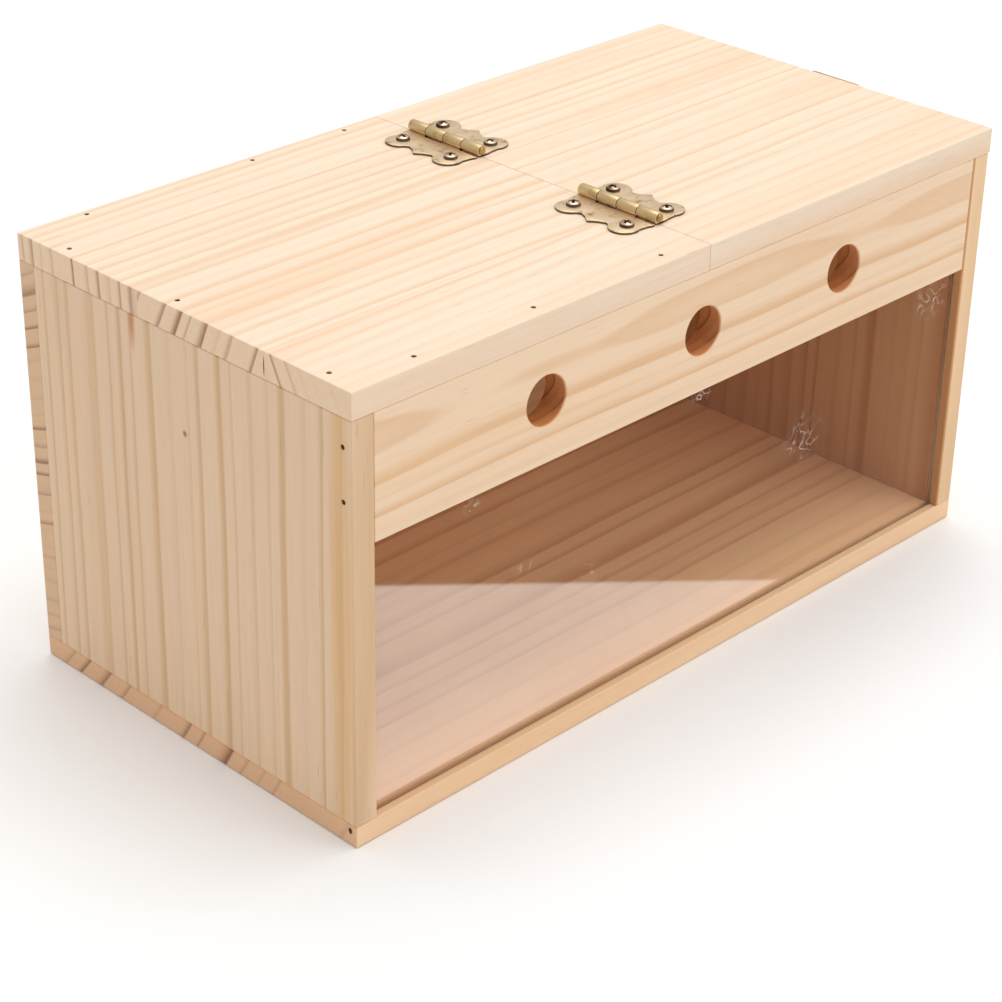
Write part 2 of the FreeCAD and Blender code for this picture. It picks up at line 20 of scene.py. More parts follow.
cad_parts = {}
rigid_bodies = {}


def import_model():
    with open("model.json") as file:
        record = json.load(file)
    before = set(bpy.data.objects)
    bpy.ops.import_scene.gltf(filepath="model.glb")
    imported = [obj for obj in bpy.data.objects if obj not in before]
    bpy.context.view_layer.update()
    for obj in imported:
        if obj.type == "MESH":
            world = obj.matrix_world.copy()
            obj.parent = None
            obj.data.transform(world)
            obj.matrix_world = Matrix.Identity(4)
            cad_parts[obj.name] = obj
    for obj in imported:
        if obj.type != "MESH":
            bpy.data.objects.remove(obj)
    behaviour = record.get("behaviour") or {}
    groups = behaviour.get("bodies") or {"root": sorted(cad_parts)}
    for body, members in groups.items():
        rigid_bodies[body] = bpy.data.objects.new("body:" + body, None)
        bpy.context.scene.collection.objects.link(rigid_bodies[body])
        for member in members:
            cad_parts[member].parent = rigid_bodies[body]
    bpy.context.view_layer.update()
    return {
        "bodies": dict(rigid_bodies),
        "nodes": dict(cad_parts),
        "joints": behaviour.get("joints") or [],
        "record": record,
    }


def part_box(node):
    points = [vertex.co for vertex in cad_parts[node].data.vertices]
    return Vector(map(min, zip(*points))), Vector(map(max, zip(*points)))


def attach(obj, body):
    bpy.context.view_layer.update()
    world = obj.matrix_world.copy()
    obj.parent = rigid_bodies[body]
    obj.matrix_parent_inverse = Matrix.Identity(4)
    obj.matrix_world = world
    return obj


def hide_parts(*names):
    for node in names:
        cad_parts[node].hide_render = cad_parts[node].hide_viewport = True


log = logging.getLogger("nest_box")

MM = 0.001
TURN = 2.0 * math.pi
SHARP_ANGLE = math.radians(34.0)
SHORT_SIDE_SHARE = 0.45
UP = Vector((0.0, 0.0, 1.0))
BACKWARD = Vector((0.0, 1.0, 0.0))
RIGHTWARD = Vector((1.0, 0.0, 0.0))

Colour = tuple[float, float, float]
Socket = Any


class Body(str, Enum):
    """The frame's bodies that new pieces ride on."""

    BOX = "box"
    LID = "lid"
    HOOK = "hook"
    PERCH = "perch"
    PERCH_THREAD = "perch_thread"


class Slot(str, Enum):
    """The record's material slots."""

    ACRYLIC = "clear_acrylic"
    BRASS = "antique_brass"
    ZINC = "zinc_plate"
    WASHER = "washer_steel"
    YELLOW_ZINC = "yellow_zinc"
    BEECH = "beech"


class Grain(Enum):
    """Which way a board's grain runs, as the turns about Y and Z that bring it to local X."""

    LENGTHWISE = (0.0, 0.0)
    UPRIGHT = (math.pi / 2, 0.0)
    OUTWARD = (0.0, -math.pi / 2)


# Surfaces -----------------------------------------------------------------------------------------


@dataclass
class Surface:
    """Points and faces of one closed skin, or of several put together.

    Args:
        points: One row of x, y, z for each point.
        faces: The point numbers of each face.
    """

    points: np.ndarray
    faces: list[list[int]]

    def moved(self, matrix: Matrix) -> Surface:
        """Returns the surface carried by a matrix, as points times its transpose plus its shift."""
        turn = np.array(matrix.to_3x3())
        return Surface(self.points @ turn.T + np.array(matrix.translation), self.faces)


def joined(parts: Iterable[Surface]) -> Surface:
    """Puts surfaces side by side in one.

    Args:
        parts: The surfaces.

    Returns:
        One surface with all their points and faces.
    """
    points, faces, count = [], [], 0
    for part in parts:
        points.append(part.points)
        faces.extend([[index + count for index in face] for face in part.faces])
        count += len(part.points)
    return Surface(np.concatenate(points), faces)


def skinned(rings: np.ndarray, start: Sequence[float] | None, end: Sequence[float] | None) -> Surface:
    """Closes a stack of rings into a skin.

    Face k of row r joins points k and k + 1 of ring r to the same points of ring r + 1, and the last point of
    a ring is joined to its first. With both poles given, each end is a fan of triangles round its pole. With
    none, the last ring is joined to the first, as in a washer.

    Args:
        rings: Array of shape rings by points by 3.
        start: Pole before the first ring, or None.
        end: Pole after the last ring, or None.

    Returns:
        The closed skin.
    """
    rows, columns = rings.shape[:2]
    here = np.arange(columns)
    after = (here + 1) % columns
    open_ended = start is not None
    low = np.arange(rows - 1 if open_ended else rows)[:, None]
    high = (low + 1) % rows
    corners = (low * columns + here, low * columns + after, high * columns + after, high * columns + here)
    faces = np.stack(corners, axis=-1).reshape(-1, 4).tolist()
    points = rings.reshape(-1, 3)
    if open_ended:
        first, last = rows * columns, rows * columns + 1
        points = np.concatenate([points, [start], [end]])
        top = (rows - 1) * columns
        faces += np.stack([after, here, np.full(columns, first)], axis=-1).tolist()
        faces += np.stack([top + here, top + after, np.full(columns, last)], axis=-1).tolist()
    return Surface(points, faces)


def capped(rings: np.ndarray) -> Surface:
    """Closes a stack of rings with one polygon at each end.

    Args:
        rings: Array of shape rings by points by 3.

    Returns:
        The closed skin.
    """
    rows, columns = rings.shape[:2]
    top = (rows - 1) * columns
    faces = skinned(rings, (0, 0, 0), (0, 0, 0)).faces[:top]
    faces += [list(range(columns))[::-1], list(range(top, top + columns))]
    return Surface(rings.reshape(-1, 3), faces)


def eased(outline: Sequence[Sequence[float]], ease: float, steps: int = 4, closed: bool = True) -> np.ndarray:
    """Softens the corners of an outline.

    Each corner P is swapped for the curve (1-t)^2 A + 2t(1-t) P + t^2 B, where A and B lie on its two sides
    at the ease distance, or at a fixed share of a side that is short.

    Args:
        outline: Corner points in the plane.
        ease: Distance from a corner to the start of its curve.
        steps: Points on each curve.
        closed: Whether the last corner joins the first; if not, the two ends stay as they are.

    Returns:
        Array of points in the plane.
    """
    corner = np.asarray(outline, float)
    to_last, to_next = np.roll(corner, 1, 0) - corner, np.roll(corner, -1, 0) - corner
    sides = []
    for side in (to_last, to_next):
        length = np.maximum(np.linalg.norm(side, axis=1, keepdims=True), 1e-9)
        sides.append(corner + side / length * np.minimum(ease, SHORT_SIDE_SHARE * length))
    t = np.linspace(0.0, 1.0, steps)[None, :, None]
    near, far = sides[0][:, None], sides[1][:, None]
    curve = (1 - t) ** 2 * near + 2 * t * (1 - t) * corner[:, None] + t**2 * far
    if closed:
        return curve.reshape(-1, 2)
    return np.concatenate([corner[:1], curve[1:-1].reshape(-1, 2), corner[-1:]])


def turned(profile: np.ndarray, segments: int = 48, ring: bool = False) -> Surface:
    """Turns a profile round the Z axis: point (r, h) at angle a goes to (r cos a, r sin a, h).

    Args:
        profile: Radius and height of each point, from the foot up its outer side.
        segments: Points round the axis.
        ring: True for a closed loop off the axis; otherwise the two ends lie on the axis.

    Returns:
        The turned skin.
    """
    radius, height = np.asarray(profile, float).T
    inner = slice(None) if ring else slice(1, -1)
    angle = np.linspace(0.0, TURN, segments, endpoint=False)
    r, h = radius[inner][:, None], height[inner][:, None]
    rings = np.stack([r * np.cos(angle), r * np.sin(angle), h + 0 * angle], axis=-1)
    if ring:
        return skinned(rings, None, None)
    return skinned(rings, (0, 0, height[0]), (0, 0, height[-1]))


def arc(centre: Sequence[float], radius: float, start: float, end: float, steps: int = 12) -> np.ndarray:
    """Points on a circle in the plane, centre + radius (cos a, sin a).

    Args:
        centre: The circle's middle.
        radius: Its radius.
        start: First value of a, in degrees.
        end: Last value of a, in degrees.
        steps: Number of points.

    Returns:
        Array of points in the plane.
    """
    angle = np.radians(np.linspace(start, end, steps))
    return np.stack([centre[0] + radius * np.cos(angle), centre[1] + radius * np.sin(angle)], axis=-1)


def slab(outline: np.ndarray, thickness: float, bevel: float, steps: int = 3) -> Surface:
    """A flat plate with rounded rims, standing on the XY plane.

    Each ring is the outline moved inwards along its normals by bevel (1 - sin a), at the height
    bevel (1 - cos a) from the face, with a from 0 to a quarter turn, and the same at the other face. The two
    faces are single polygons.

    Args:
        outline: Points in the plane, anticlockwise.
        thickness: Height of the plate.
        bevel: Radius of its rims.
        steps: Rings on each rim.

    Returns:
        The closed plate.
    """
    along = np.roll(outline, -1, 0) - np.roll(outline, 1, 0)
    inward = np.stack([-along[:, 1], along[:, 0]], axis=-1)
    inward /= np.maximum(np.linalg.norm(inward, axis=1, keepdims=True), 1e-12)
    angle = np.linspace(0.0, math.pi / 2, steps)
    inset = bevel * (1 - np.sin(angle))
    rise = bevel * (1 - np.cos(angle))
    insets = np.concatenate([inset, inset[::-1]])
    heights = np.concatenate([rise, thickness - rise[::-1]])
    flat = outline[None] + inward[None] * insets[:, None, None]
    level = np.broadcast_to(heights[:, None, None], flat.shape[:2] + (1,))
    return capped(np.concatenate([flat, level], axis=-1))


def stand(origin: Sequence[float], axis: Vector, spin: float = 0.0) -> Matrix:
    """Matrix that takes the origin and the Z axis to a place and an axis.

    Args:
        origin: Where the foot goes.
        axis: Where Z points.
        spin: Turn about the axis, in radians, before that.

    Returns:
        The matrix.
    """
    lift = UP.rotation_difference(axis).to_matrix().to_4x4()
    return Matrix.Translation(Vector(origin)) @ lift @ Matrix.Rotation(spin, 4, "Z")


@dataclass(frozen=True)
class Thread:
    """A right-handed screw thread.

    Args:
        radius: Radius over the crests.
        pitch: Rise of one turn.
        depth: Crest to root.
    """

    radius: float = 2.5 * MM
    pitch: float = 0.8 * MM
    depth: float = 0.43 * MM

    def surface(self, start: float, end: float, segments: int = 36, rows_per_turn: int = 7) -> Surface:
        """A threaded rod along Z.

        With p the fraction of height / pitch - angle / turn, the radius is the root's plus the depth times
        2.2 |2p - 1| - 0.6, kept between 0 and 1. The thread fades to its root over the last turn at each end.

        Args:
            start: Height of the foot.
            end: Height of the tip.
            segments: Points round the axis.
            rows_per_turn: Rings in one pitch.

        Returns:
            The closed rod.
        """
        rows = int((end - start) / self.pitch * rows_per_turn)
        height = np.linspace(start, end, rows)[:, None]
        angle = np.linspace(0.0, TURN, segments, endpoint=False)[None, :]
        phase = np.mod(height / self.pitch - angle / TURN, 1.0)
        fade = np.clip(np.minimum(height - start, end - height) / self.pitch, 0.0, 1.0)
        crest = np.clip(2.2 * np.abs(2 * phase - 1) - 0.6, 0.0, 1.0) * fade
        r = self.radius - self.depth + self.depth * crest
        rings = np.stack([r * np.cos(angle), r * np.sin(angle), height + 0 * angle], axis=-1)
        return skinned(rings, (0, 0, start), (0, 0, end))


@dataclass(frozen=True)
class CrossHead:
    """A domed screw head with a cross slot.

    Args:
        radius: Radius of the head.
        height: Height of its middle above its seat.
        rim: Height of its side wall.
        slot_length: Length of each slot.
        slot_width: Width of each slot.
        slot_depth: Depth of the slots.
    """

    radius: float
    height: float
    rim: float
    slot_length: float
    slot_width: float
    slot_depth: float

    def lines(self) -> np.ndarray:
        """Grid lines from -1 to 1, close together at the slots' walls.

        Returns:
            The lines in rising order.
        """
        wall, end, soft = self.slot_width / 2, self.slot_length / 2, 0.09
        beside_wall = [wall * (1 - soft), wall * (1 + soft)]
        beside_end = [end * (1 - soft / 2), end * (1 + soft / 2)]
        near = np.array([0.0, *beside_wall, *beside_end])
        far = np.linspace(wall * 1.6, self.radius, 12)
        half = np.unique(np.concatenate([near, far, [wall * 0.5]])) / self.radius
        return np.unique(np.concatenate([-half, half]))

    def surface(self) -> Surface:
        """The head, on the XY plane.

        A square grid (a, b) is rounded to a disc by x = a sqrt(1 - b^2/2), y = b sqrt(1 - a^2/2). With rho
        the distance from the middle, the height is rim + (height - rim)(1 - rho^2.4)^0.6, less the slots'
        depth inside either slot. The border goes straight down to a flat foot.

        Returns:
            The closed head.
        """
        line = self.lines()
        a, b = np.meshgrid(line, line, indexing="ij")
        x, y = a * np.sqrt(1 - b**2 / 2), b * np.sqrt(1 - a**2 / 2)
        rho = np.clip(np.hypot(x, y), 0.0, 1.0)
        dome = self.rim + (self.height - self.rim) * np.clip(1 - rho**2.4, 0.0, 1.0) ** 0.6
        wide, long = self.slot_width / 2 / self.radius, self.slot_length / 2 / self.radius
        lengthwise = np.minimum(np.abs(x) < wide, np.abs(y) < long)
        crosswise = np.minimum(np.abs(y) < wide, np.abs(x) < long)
        inside = np.maximum(lengthwise, crosswise)
        z = dome - inside * self.slot_depth
        n = len(line)
        cap = np.stack([x * self.radius, y * self.radius, z], axis=-1).reshape(-1, 3)
        number = np.arange(n * n).reshape(n, n)
        quads = np.stack([number[:-1, :-1], number[1:, :-1], number[1:, 1:], number[:-1, 1:]], axis=-1)
        border = np.concatenate([number[:-1, 0], number[-1, :-1], number[:0:-1, -1], number[0, :0:-1]])
        foot = cap[border] * (1.0, 1.0, 0.0)
        low = n * n + np.arange(len(border))
        wall = np.stack([border, low, np.roll(low, -1), np.roll(border, -1)], axis=-1)
        faces = quads.reshape(-1, 4).tolist() + wall.tolist() + [low[::-1].tolist()]
        return Surface(np.concatenate([cap, foot]), faces)


# Node trees ---------------------------------------------------------------------------------------


def tint(red: int, green: int, blue: int) -> Colour:
    """Turns a display colour into linear light.

    Args:
        red: Red from 0 to 255.
        green: Green from 0 to 255.
        blue: Blue from 0 to 255.

    Returns:
        The linear colour.
    """
    share = np.array([red, green, blue]) / 255.0
    light = np.where(share <= 0.04045, share / 12.92, ((share + 0.055) / 1.055) ** 2.4)
    return float(light[0]), float(light[1]), float(light[2])


class Graph:
    """Short calls for the shader nodes that the finishes are made of."""

    def __init__(self, tree: bpy.types.NodeTree) -> None:
        """Keeps the tree that the nodes go into."""
        self.tree = tree

    def node(self, kind: str, **settings: Any) -> bpy.types.Node:
        """Adds a node.

        Args:
            kind: Its type.
            settings: Its properties by name.

        Returns:
            The node.
        """
        made = self.tree.nodes.new(kind)
        for name, value in settings.items():
            setattr(made, name, value)
        return made

    def feed(self, value: Any, target: Socket) -> None:
        """Gives an input its value.

        Args:
            value: A socket to link, a number, a vector or a colour.
            target: The input.
        """
        if isinstance(value, bpy.types.NodeSocket):
            self.tree.links.new(value, target)
        elif isinstance(value, (tuple, list)) and target.type == "RGBA":
            target.default_value = (*value[:3], 1.0)
        else:
            target.default_value = value

    def math(self, operation: str, *values: Any, clamp: bool = False) -> Socket:
        """Adds a Math node.

        Args:
            operation: What it works out.
            values: Its inputs in order.
            clamp: Whether the result is kept between 0 and 1.

        Returns:
            Its result.
        """
        made = self.node("ShaderNodeMath", operation=operation, use_clamp=clamp)
        for value, target in zip(values, made.inputs):
            self.feed(value, target)
        return made.outputs[0]

    def times(self, first: Any, second: Any) -> Socket:
        """A product."""
        return self.math("MULTIPLY", first, second)

    def plus(self, first: Any, second: Any) -> Socket:
        """A sum."""
        return self.math("ADD", first, second)

    def minus(self, first: Any, second: Any) -> Socket:
        """A difference."""
        return self.math("SUBTRACT", first, second)

    def vector(self, operation: str, *values: Any) -> Socket:
        """Adds a Vector Math node.

        Args:
            operation: What it works out.
            values: Its inputs in order.

        Returns:
            Its vector, or its number for a length or a dot product.
        """
        made = self.node("ShaderNodeVectorMath", operation=operation)
        for value, target in zip(values, made.inputs):
            self.feed(value, target)
        return made.outputs["Value" if operation in ("LENGTH", "DOT_PRODUCT") else "Vector"]

    def smooth(self, value: Socket, low: Any, high: Any) -> Socket:
        """Adds a smooth step.

        Args:
            value: What is stepped.
            low: Where the step is 0.
            high: Where it is 1.

        Returns:
            The step's value.
        """
        made = self.node("ShaderNodeMapRange", interpolation_type="SMOOTHSTEP")
        for number, target in zip((value, low, high), made.inputs):
            self.feed(number, target)
        return made.outputs[0]

    def mix(self, factor: Any, first: Any, second: Any, blend: str = "MIX") -> Socket:
        """Blends two colours.

        Args:
            factor: Share of the second.
            first: The first colour.
            second: The second colour.
            blend: The way they are blended.

        Returns:
            The blend.
        """
        made = self.node("ShaderNodeMix", data_type="RGBA", blend_type=blend)
        for value, name in ((factor, 0), (first, 6), (second, 7)):
            self.feed(value, made.inputs[name])
        return made.outputs[2]

    def noise(self, point: Socket, stretch: Sequence[float], seed: Any, detail: float = 2.0) -> Socket:
        """Adds noise over a stretched space.

        Args:
            point: Where it is read.
            stretch: Cycles in a metre along each axis.
            seed: Number that tells it from other noise.
            detail: How fine it goes.

        Returns:
            The noise, which is about 0.5 on average.
        """
        made = self.node("ShaderNodeTexNoise", noise_dimensions="4D")
        self.feed(self.vector("MULTIPLY", point, tuple(stretch)), made.inputs["Vector"])
        self.feed(seed, made.inputs["W"])
        made.inputs["Scale"].default_value = 1.0
        made.inputs["Detail"].default_value = detail
        return made.outputs[0]

    def split(self, point: Socket) -> Sequence[Socket]:
        """Takes a vector apart.

        Args:
            point: The vector.

        Returns:
            Its X, Y and Z.
        """
        made = self.node("ShaderNodeSeparateXYZ")
        self.feed(point, made.inputs[0])
        return made.outputs

    def place(self, group: bpy.types.NodeTree, **values: Any) -> bpy.types.Node:
        """Adds a group node.

        Args:
            group: The group.
            values: Its inputs by name, with underscores for spaces.

        Returns:
            The node.
        """
        made = self.node("ShaderNodeGroup", node_tree=group)
        for name, value in values.items():
            self.feed(value, made.inputs[name.replace("_", " ")])
        return made


FLOAT, COLOUR, VECTOR = "NodeSocketFloat", "NodeSocketColor", "NodeSocketVector"


def new_group(name: str, inputs: dict[str, str], outputs: dict[str, str]) -> tuple[Graph, Sequence, Sequence]:
    """Starts a node group.

    Args:
        name: The group's name.
        inputs: Socket kinds by name.
        outputs: Socket kinds by name.

    Returns:
        The group's graph, its inputs as the inner nodes see them, and its outputs.
    """
    tree = bpy.data.node_groups.new(name, "ShaderNodeTree")
    for label, kind in inputs.items():
        tree.interface.new_socket(name=label, in_out="INPUT", socket_type=kind)
    for label, kind in outputs.items():
        tree.interface.new_socket(name=label, in_out="OUTPUT", socket_type=kind)
    graph = Graph(tree)
    return graph, graph.node("NodeGroupInput").outputs, graph.node("NodeGroupOutput").inputs


class Patterns:
    """The node groups that several finishes share, each built once."""

    def __init__(self) -> None:
        """Builds all the groups."""
        self.spot = self.spot_group()
        self.strips = self.strips_group()
        self.pine = self.pine_group()
        self.metal = self.metal_group()

    @staticmethod
    def spot_group() -> bpy.types.NodeTree:
        """A soft round or long spot: 1 - smooth step of |(point - centre) / reach| from the core to 1.

        Returns:
            The group.
        """
        graph, given, out = new_group(
            "Spot", {"Point": VECTOR, "Centre": VECTOR, "Reach": VECTOR, "Core": FLOAT}, {"Mask": FLOAT}
        )
        offset = graph.vector("SUBTRACT", given["Point"], given["Centre"])
        away = graph.vector("DIVIDE", offset, given["Reach"])
        far = graph.smooth(graph.vector("LENGTH", away), given["Core"], 1.0)
        graph.feed(graph.minus(1.0, far), out["Mask"])
        return graph.tree

    @staticmethod
    def strips_group() -> bpy.types.NodeTree:
        """Three strips glued edge to edge: each has its own heart line, and a thin line marks each joint.

        Returns:
            The group.
        """
        names = {"Point": VECTOR, "First Edge": FLOAT, "Second Edge": FLOAT}
        hearts = {"First Heart": VECTOR, "Second Heart": VECTOR, "Third Heart": VECTOR}
        graph, given, out = new_group(
            "Glued strips", {**names, **hearts}, {"Heart": VECTOR, "Strip": FLOAT, "Joint": FLOAT}
        )
        across = graph.split(given["Point"])["Y"]
        past_first = graph.math("GREATER_THAN", across, given["First Edge"])
        past_second = graph.math("GREATER_THAN", across, given["Second Edge"])
        heart = graph.mix(past_first, given["First Heart"], given["Second Heart"])
        graph.feed(graph.mix(past_second, heart, given["Third Heart"]), out["Heart"])
        graph.feed(graph.plus(past_first, past_second), out["Strip"])
        near = [
            graph.math("ABSOLUTE", graph.minus(across, given[name]))
            for name in ("First Edge", "Second Edge")
        ]
        line = graph.smooth(graph.math("MINIMUM", *near), 0.00035, 0.0001)
        graph.feed(line, out["Joint"])
        return graph.tree

    @staticmethod
    def pine_group() -> bpy.types.NodeTree:
        """Sawn softwood as a solid figure.

        The distance from the heart line, shifted by a slow noise, is cut into rings. Each ring darkens slowly
        to its late wood and stops sharply. Fine noise stretched along X gives the fibres, and broad noise the
        warm bands. Faces across the grain take the end colours.

        Returns:
            The group.
        """
        graph, given, out = new_group(
            "Pine figure",
            {
                "Point": VECTOR,
                "End Facing": FLOAT,
                "Heart": VECTOR,
                "Strip": FLOAT,
                "Ring Spacing": FLOAT,
                "Wander": FLOAT,
                "Contrast": FLOAT,
                "Warmth": FLOAT,
                "Late Start": FLOAT,
                "Seed": FLOAT,
                "Pale": COLOUR,
                "Band": COLOUR,
                "Warm": COLOUR,
                "End Pale": COLOUR,
                "End Band": COLOUR,
            },
            {"Color": COLOUR, "Roughness": FLOAT, "Height": FLOAT},
        )
        point = given["Point"]
        seed = graph.plus(given["Seed"], graph.times(given["Strip"], 3.7))
        drift = graph.minus(graph.noise(point, (4.0, 9.0, 9.0), seed, 2.0), 0.5)
        ripple = graph.minus(graph.noise(point, (14.0, 60.0, 60.0), seed, 1.0), 0.5)
        shift = graph.plus(drift, graph.times(ripple, 0.12))
        shift = graph.times(shift, given["Wander"])
        offset = graph.vector("MULTIPLY", graph.vector("SUBTRACT", point, given["Heart"]), (0.0, 1.0, 1.0))
        distance = graph.plus(graph.vector("LENGTH", offset), shift)
        count = graph.math("DIVIDE", distance, given["Ring Spacing"])
        uneven = graph.node("ShaderNodeTexNoise", noise_dimensions="1D")
        graph.feed(graph.plus(graph.times(count, 0.45), seed), uneven.inputs["W"])
        uneven.inputs["Scale"].default_value = 1.0
        count = graph.plus(count, graph.times(uneven.outputs[0], 1.4))
        year = graph.math("FLOOR", count)
        part = graph.math("FRACT", count)
        strength = graph.node("ShaderNodeTexWhiteNoise", noise_dimensions="1D")
        graph.feed(graph.plus(year, seed), strength.inputs["W"])
        rise = graph.smooth(part, given["Late Start"], 0.9)
        late = graph.times(rise, graph.smooth(part, 1.0, 0.88))
        late = graph.times(late, graph.plus(graph.times(strength.outputs[0], 0.8), 0.2))
        fibre = graph.noise(point, (28.0, 900.0, 900.0), seed, 3.0)
        thread = graph.noise(point, (9.0, 260.0, 260.0), seed, 2.0)
        broad = graph.smooth(graph.noise(point, (3.0, 34.0, 34.0), seed, 3.0), 0.48, 0.72)
        duct = graph.smooth(graph.noise(point, (90.0, 2600.0, 2600.0), seed, 0.0), 0.78, 0.86)

        colour = graph.mix(graph.times(late, given["Contrast"]), given["Pale"], given["Band"])
        colour = graph.mix(graph.times(broad, given["Warmth"]), colour, given["Warm"])
        streak = graph.times(graph.smooth(thread, 0.5, 0.8), 0.24)
        colour = graph.mix(graph.times(streak, given["Contrast"]), colour, given["Band"])
        ends = graph.mix(graph.math("POWER", late, 2.6), given["End Pale"], given["End Band"])
        facing = graph.smooth(given["End Facing"], 0.45, 0.8)
        colour = graph.mix(facing, colour, ends)
        shade = graph.plus(0.93, graph.times(fibre, 0.14))
        grey = graph.node("ShaderNodeCombineColor")
        for channel in grey.inputs:
            graph.feed(shade, channel)
        colour = graph.mix(1.0, colour, grey.outputs[0], "MULTIPLY")
        colour = graph.mix(graph.times(duct, 0.22), colour, (0.33, 0.2, 0.11))
        graph.feed(colour, out["Color"])
        rough = graph.plus(0.62, graph.times(graph.minus(fibre, late), 0.16))
        graph.feed(rough, out["Roughness"])
        height = graph.plus(graph.times(fibre, 0.6), graph.times(late, 0.5))
        graph.feed(graph.minus(height, graph.times(duct, 0.6)), out["Height"])
        return graph.tree

    @staticmethod
    def metal_group() -> bpy.types.NodeTree:
        """Handled metal: cloudy tarnish, fine scratches and small pits.

        Returns:
            The group, which gives a colour, a roughness and a height.
        """
        graph, given, out = new_group(
            "Handled metal",
            {
                "Point": VECTOR,
                "Base": COLOUR,
                "Tarnish": COLOUR,
                "Cover": FLOAT,
                "Scratch": FLOAT,
                "Gloss": FLOAT,
                "Seed": FLOAT,
            },
            {"Color": COLOUR, "Roughness": FLOAT, "Height": FLOAT},
        )
        point, seed = given["Point"], given["Seed"]
        cloud = graph.noise(point, (240.0, 240.0, 240.0), seed, 4.0)
        low = graph.minus(0.75, graph.times(given["Cover"], 0.5))
        tarnish = graph.smooth(cloud, low, graph.plus(low, 0.22))
        lines = graph.noise(point, (2600.0, 160.0, 900.0), seed, 2.0)
        across = graph.noise(point, (180.0, 2400.0, 1100.0), seed, 2.0)
        marks = graph.smooth(graph.math("MAXIMUM", lines, across), 0.62, 0.74)
        pits = graph.smooth(graph.noise(point, (1900.0, 1900.0, 1900.0), seed, 1.0), 0.66, 0.74)
        colour = graph.mix(tarnish, given["Base"], given["Tarnish"])
        colour = graph.mix(graph.times(marks, given["Scratch"]), colour, given["Base"])
        colour = graph.mix(graph.times(pits, 0.35), colour, given["Tarnish"])
        graph.feed(colour, out["Color"])
        rough = graph.plus(given["Gloss"], graph.times(tarnish, 0.18))
        graph.feed(graph.plus(rough, graph.times(marks, 0.08)), out["Roughness"])
        sunk = graph.plus(marks, pits)
        relief = graph.times(sunk, graph.times(given["Scratch"], -1.0))
        graph.feed(graph.plus(relief, graph.times(cloud, 0.3)), out["Height"])
        return graph.tree


def new_material(name: str) -> tuple[bpy.types.Material, Graph, bpy.types.Node, Socket]:
    """Starts a material with a Principled shader.

    Args:
        name: The material's name.

    Returns:
        The material, its graph, its Principled node and its Object coordinates.
    """
    material = bpy.data.materials.new(name)
    material.use_nodes = True
    graph = Graph(material.node_tree)
    shader = next(node for node in material.node_tree.nodes if node.type == "BSDF_PRINCIPLED")
    place = graph.node("ShaderNodeTexCoord")
    return material, graph, shader, place.outputs["Object"]


def finish_surface(graph: Graph, shader: bpy.types.Node, look: bpy.types.Node, depth: float) -> None:
    """Feeds a group's colour, roughness and height to a Principled shader.

    Args:
        graph: The material's graph.
        shader: Its Principled node.
        look: The group's node.
        depth: Depth of the bump that the height makes.
    """
    graph.feed(look.outputs["Color"], shader.inputs["Base Color"])
    graph.feed(look.outputs["Roughness"], shader.inputs["Roughness"])
    bump = graph.node("ShaderNodeBump")
    bump.inputs["Distance"].default_value = depth
    graph.feed(look.outputs["Height"], bump.inputs["Height"])
    graph.feed(bump.outputs["Normal"], shader.inputs["Normal"])


@dataclass(frozen=True)
class Spot:
    """A mark, a toned area or a painted shade on the wood.

    Args:
        centre: Its middle in the frame.
        reach: How far it goes each way.
        stain_and_painted_shade: What the wood's colour is multiplied by there, for marks and for painted
            shade alike.
        core: Share of the reach at full strength.
    """

    centre: tuple[float, float, float]
    reach: tuple[float, float, float]
    stain_and_painted_shade: Colour
    core: float = 0.2


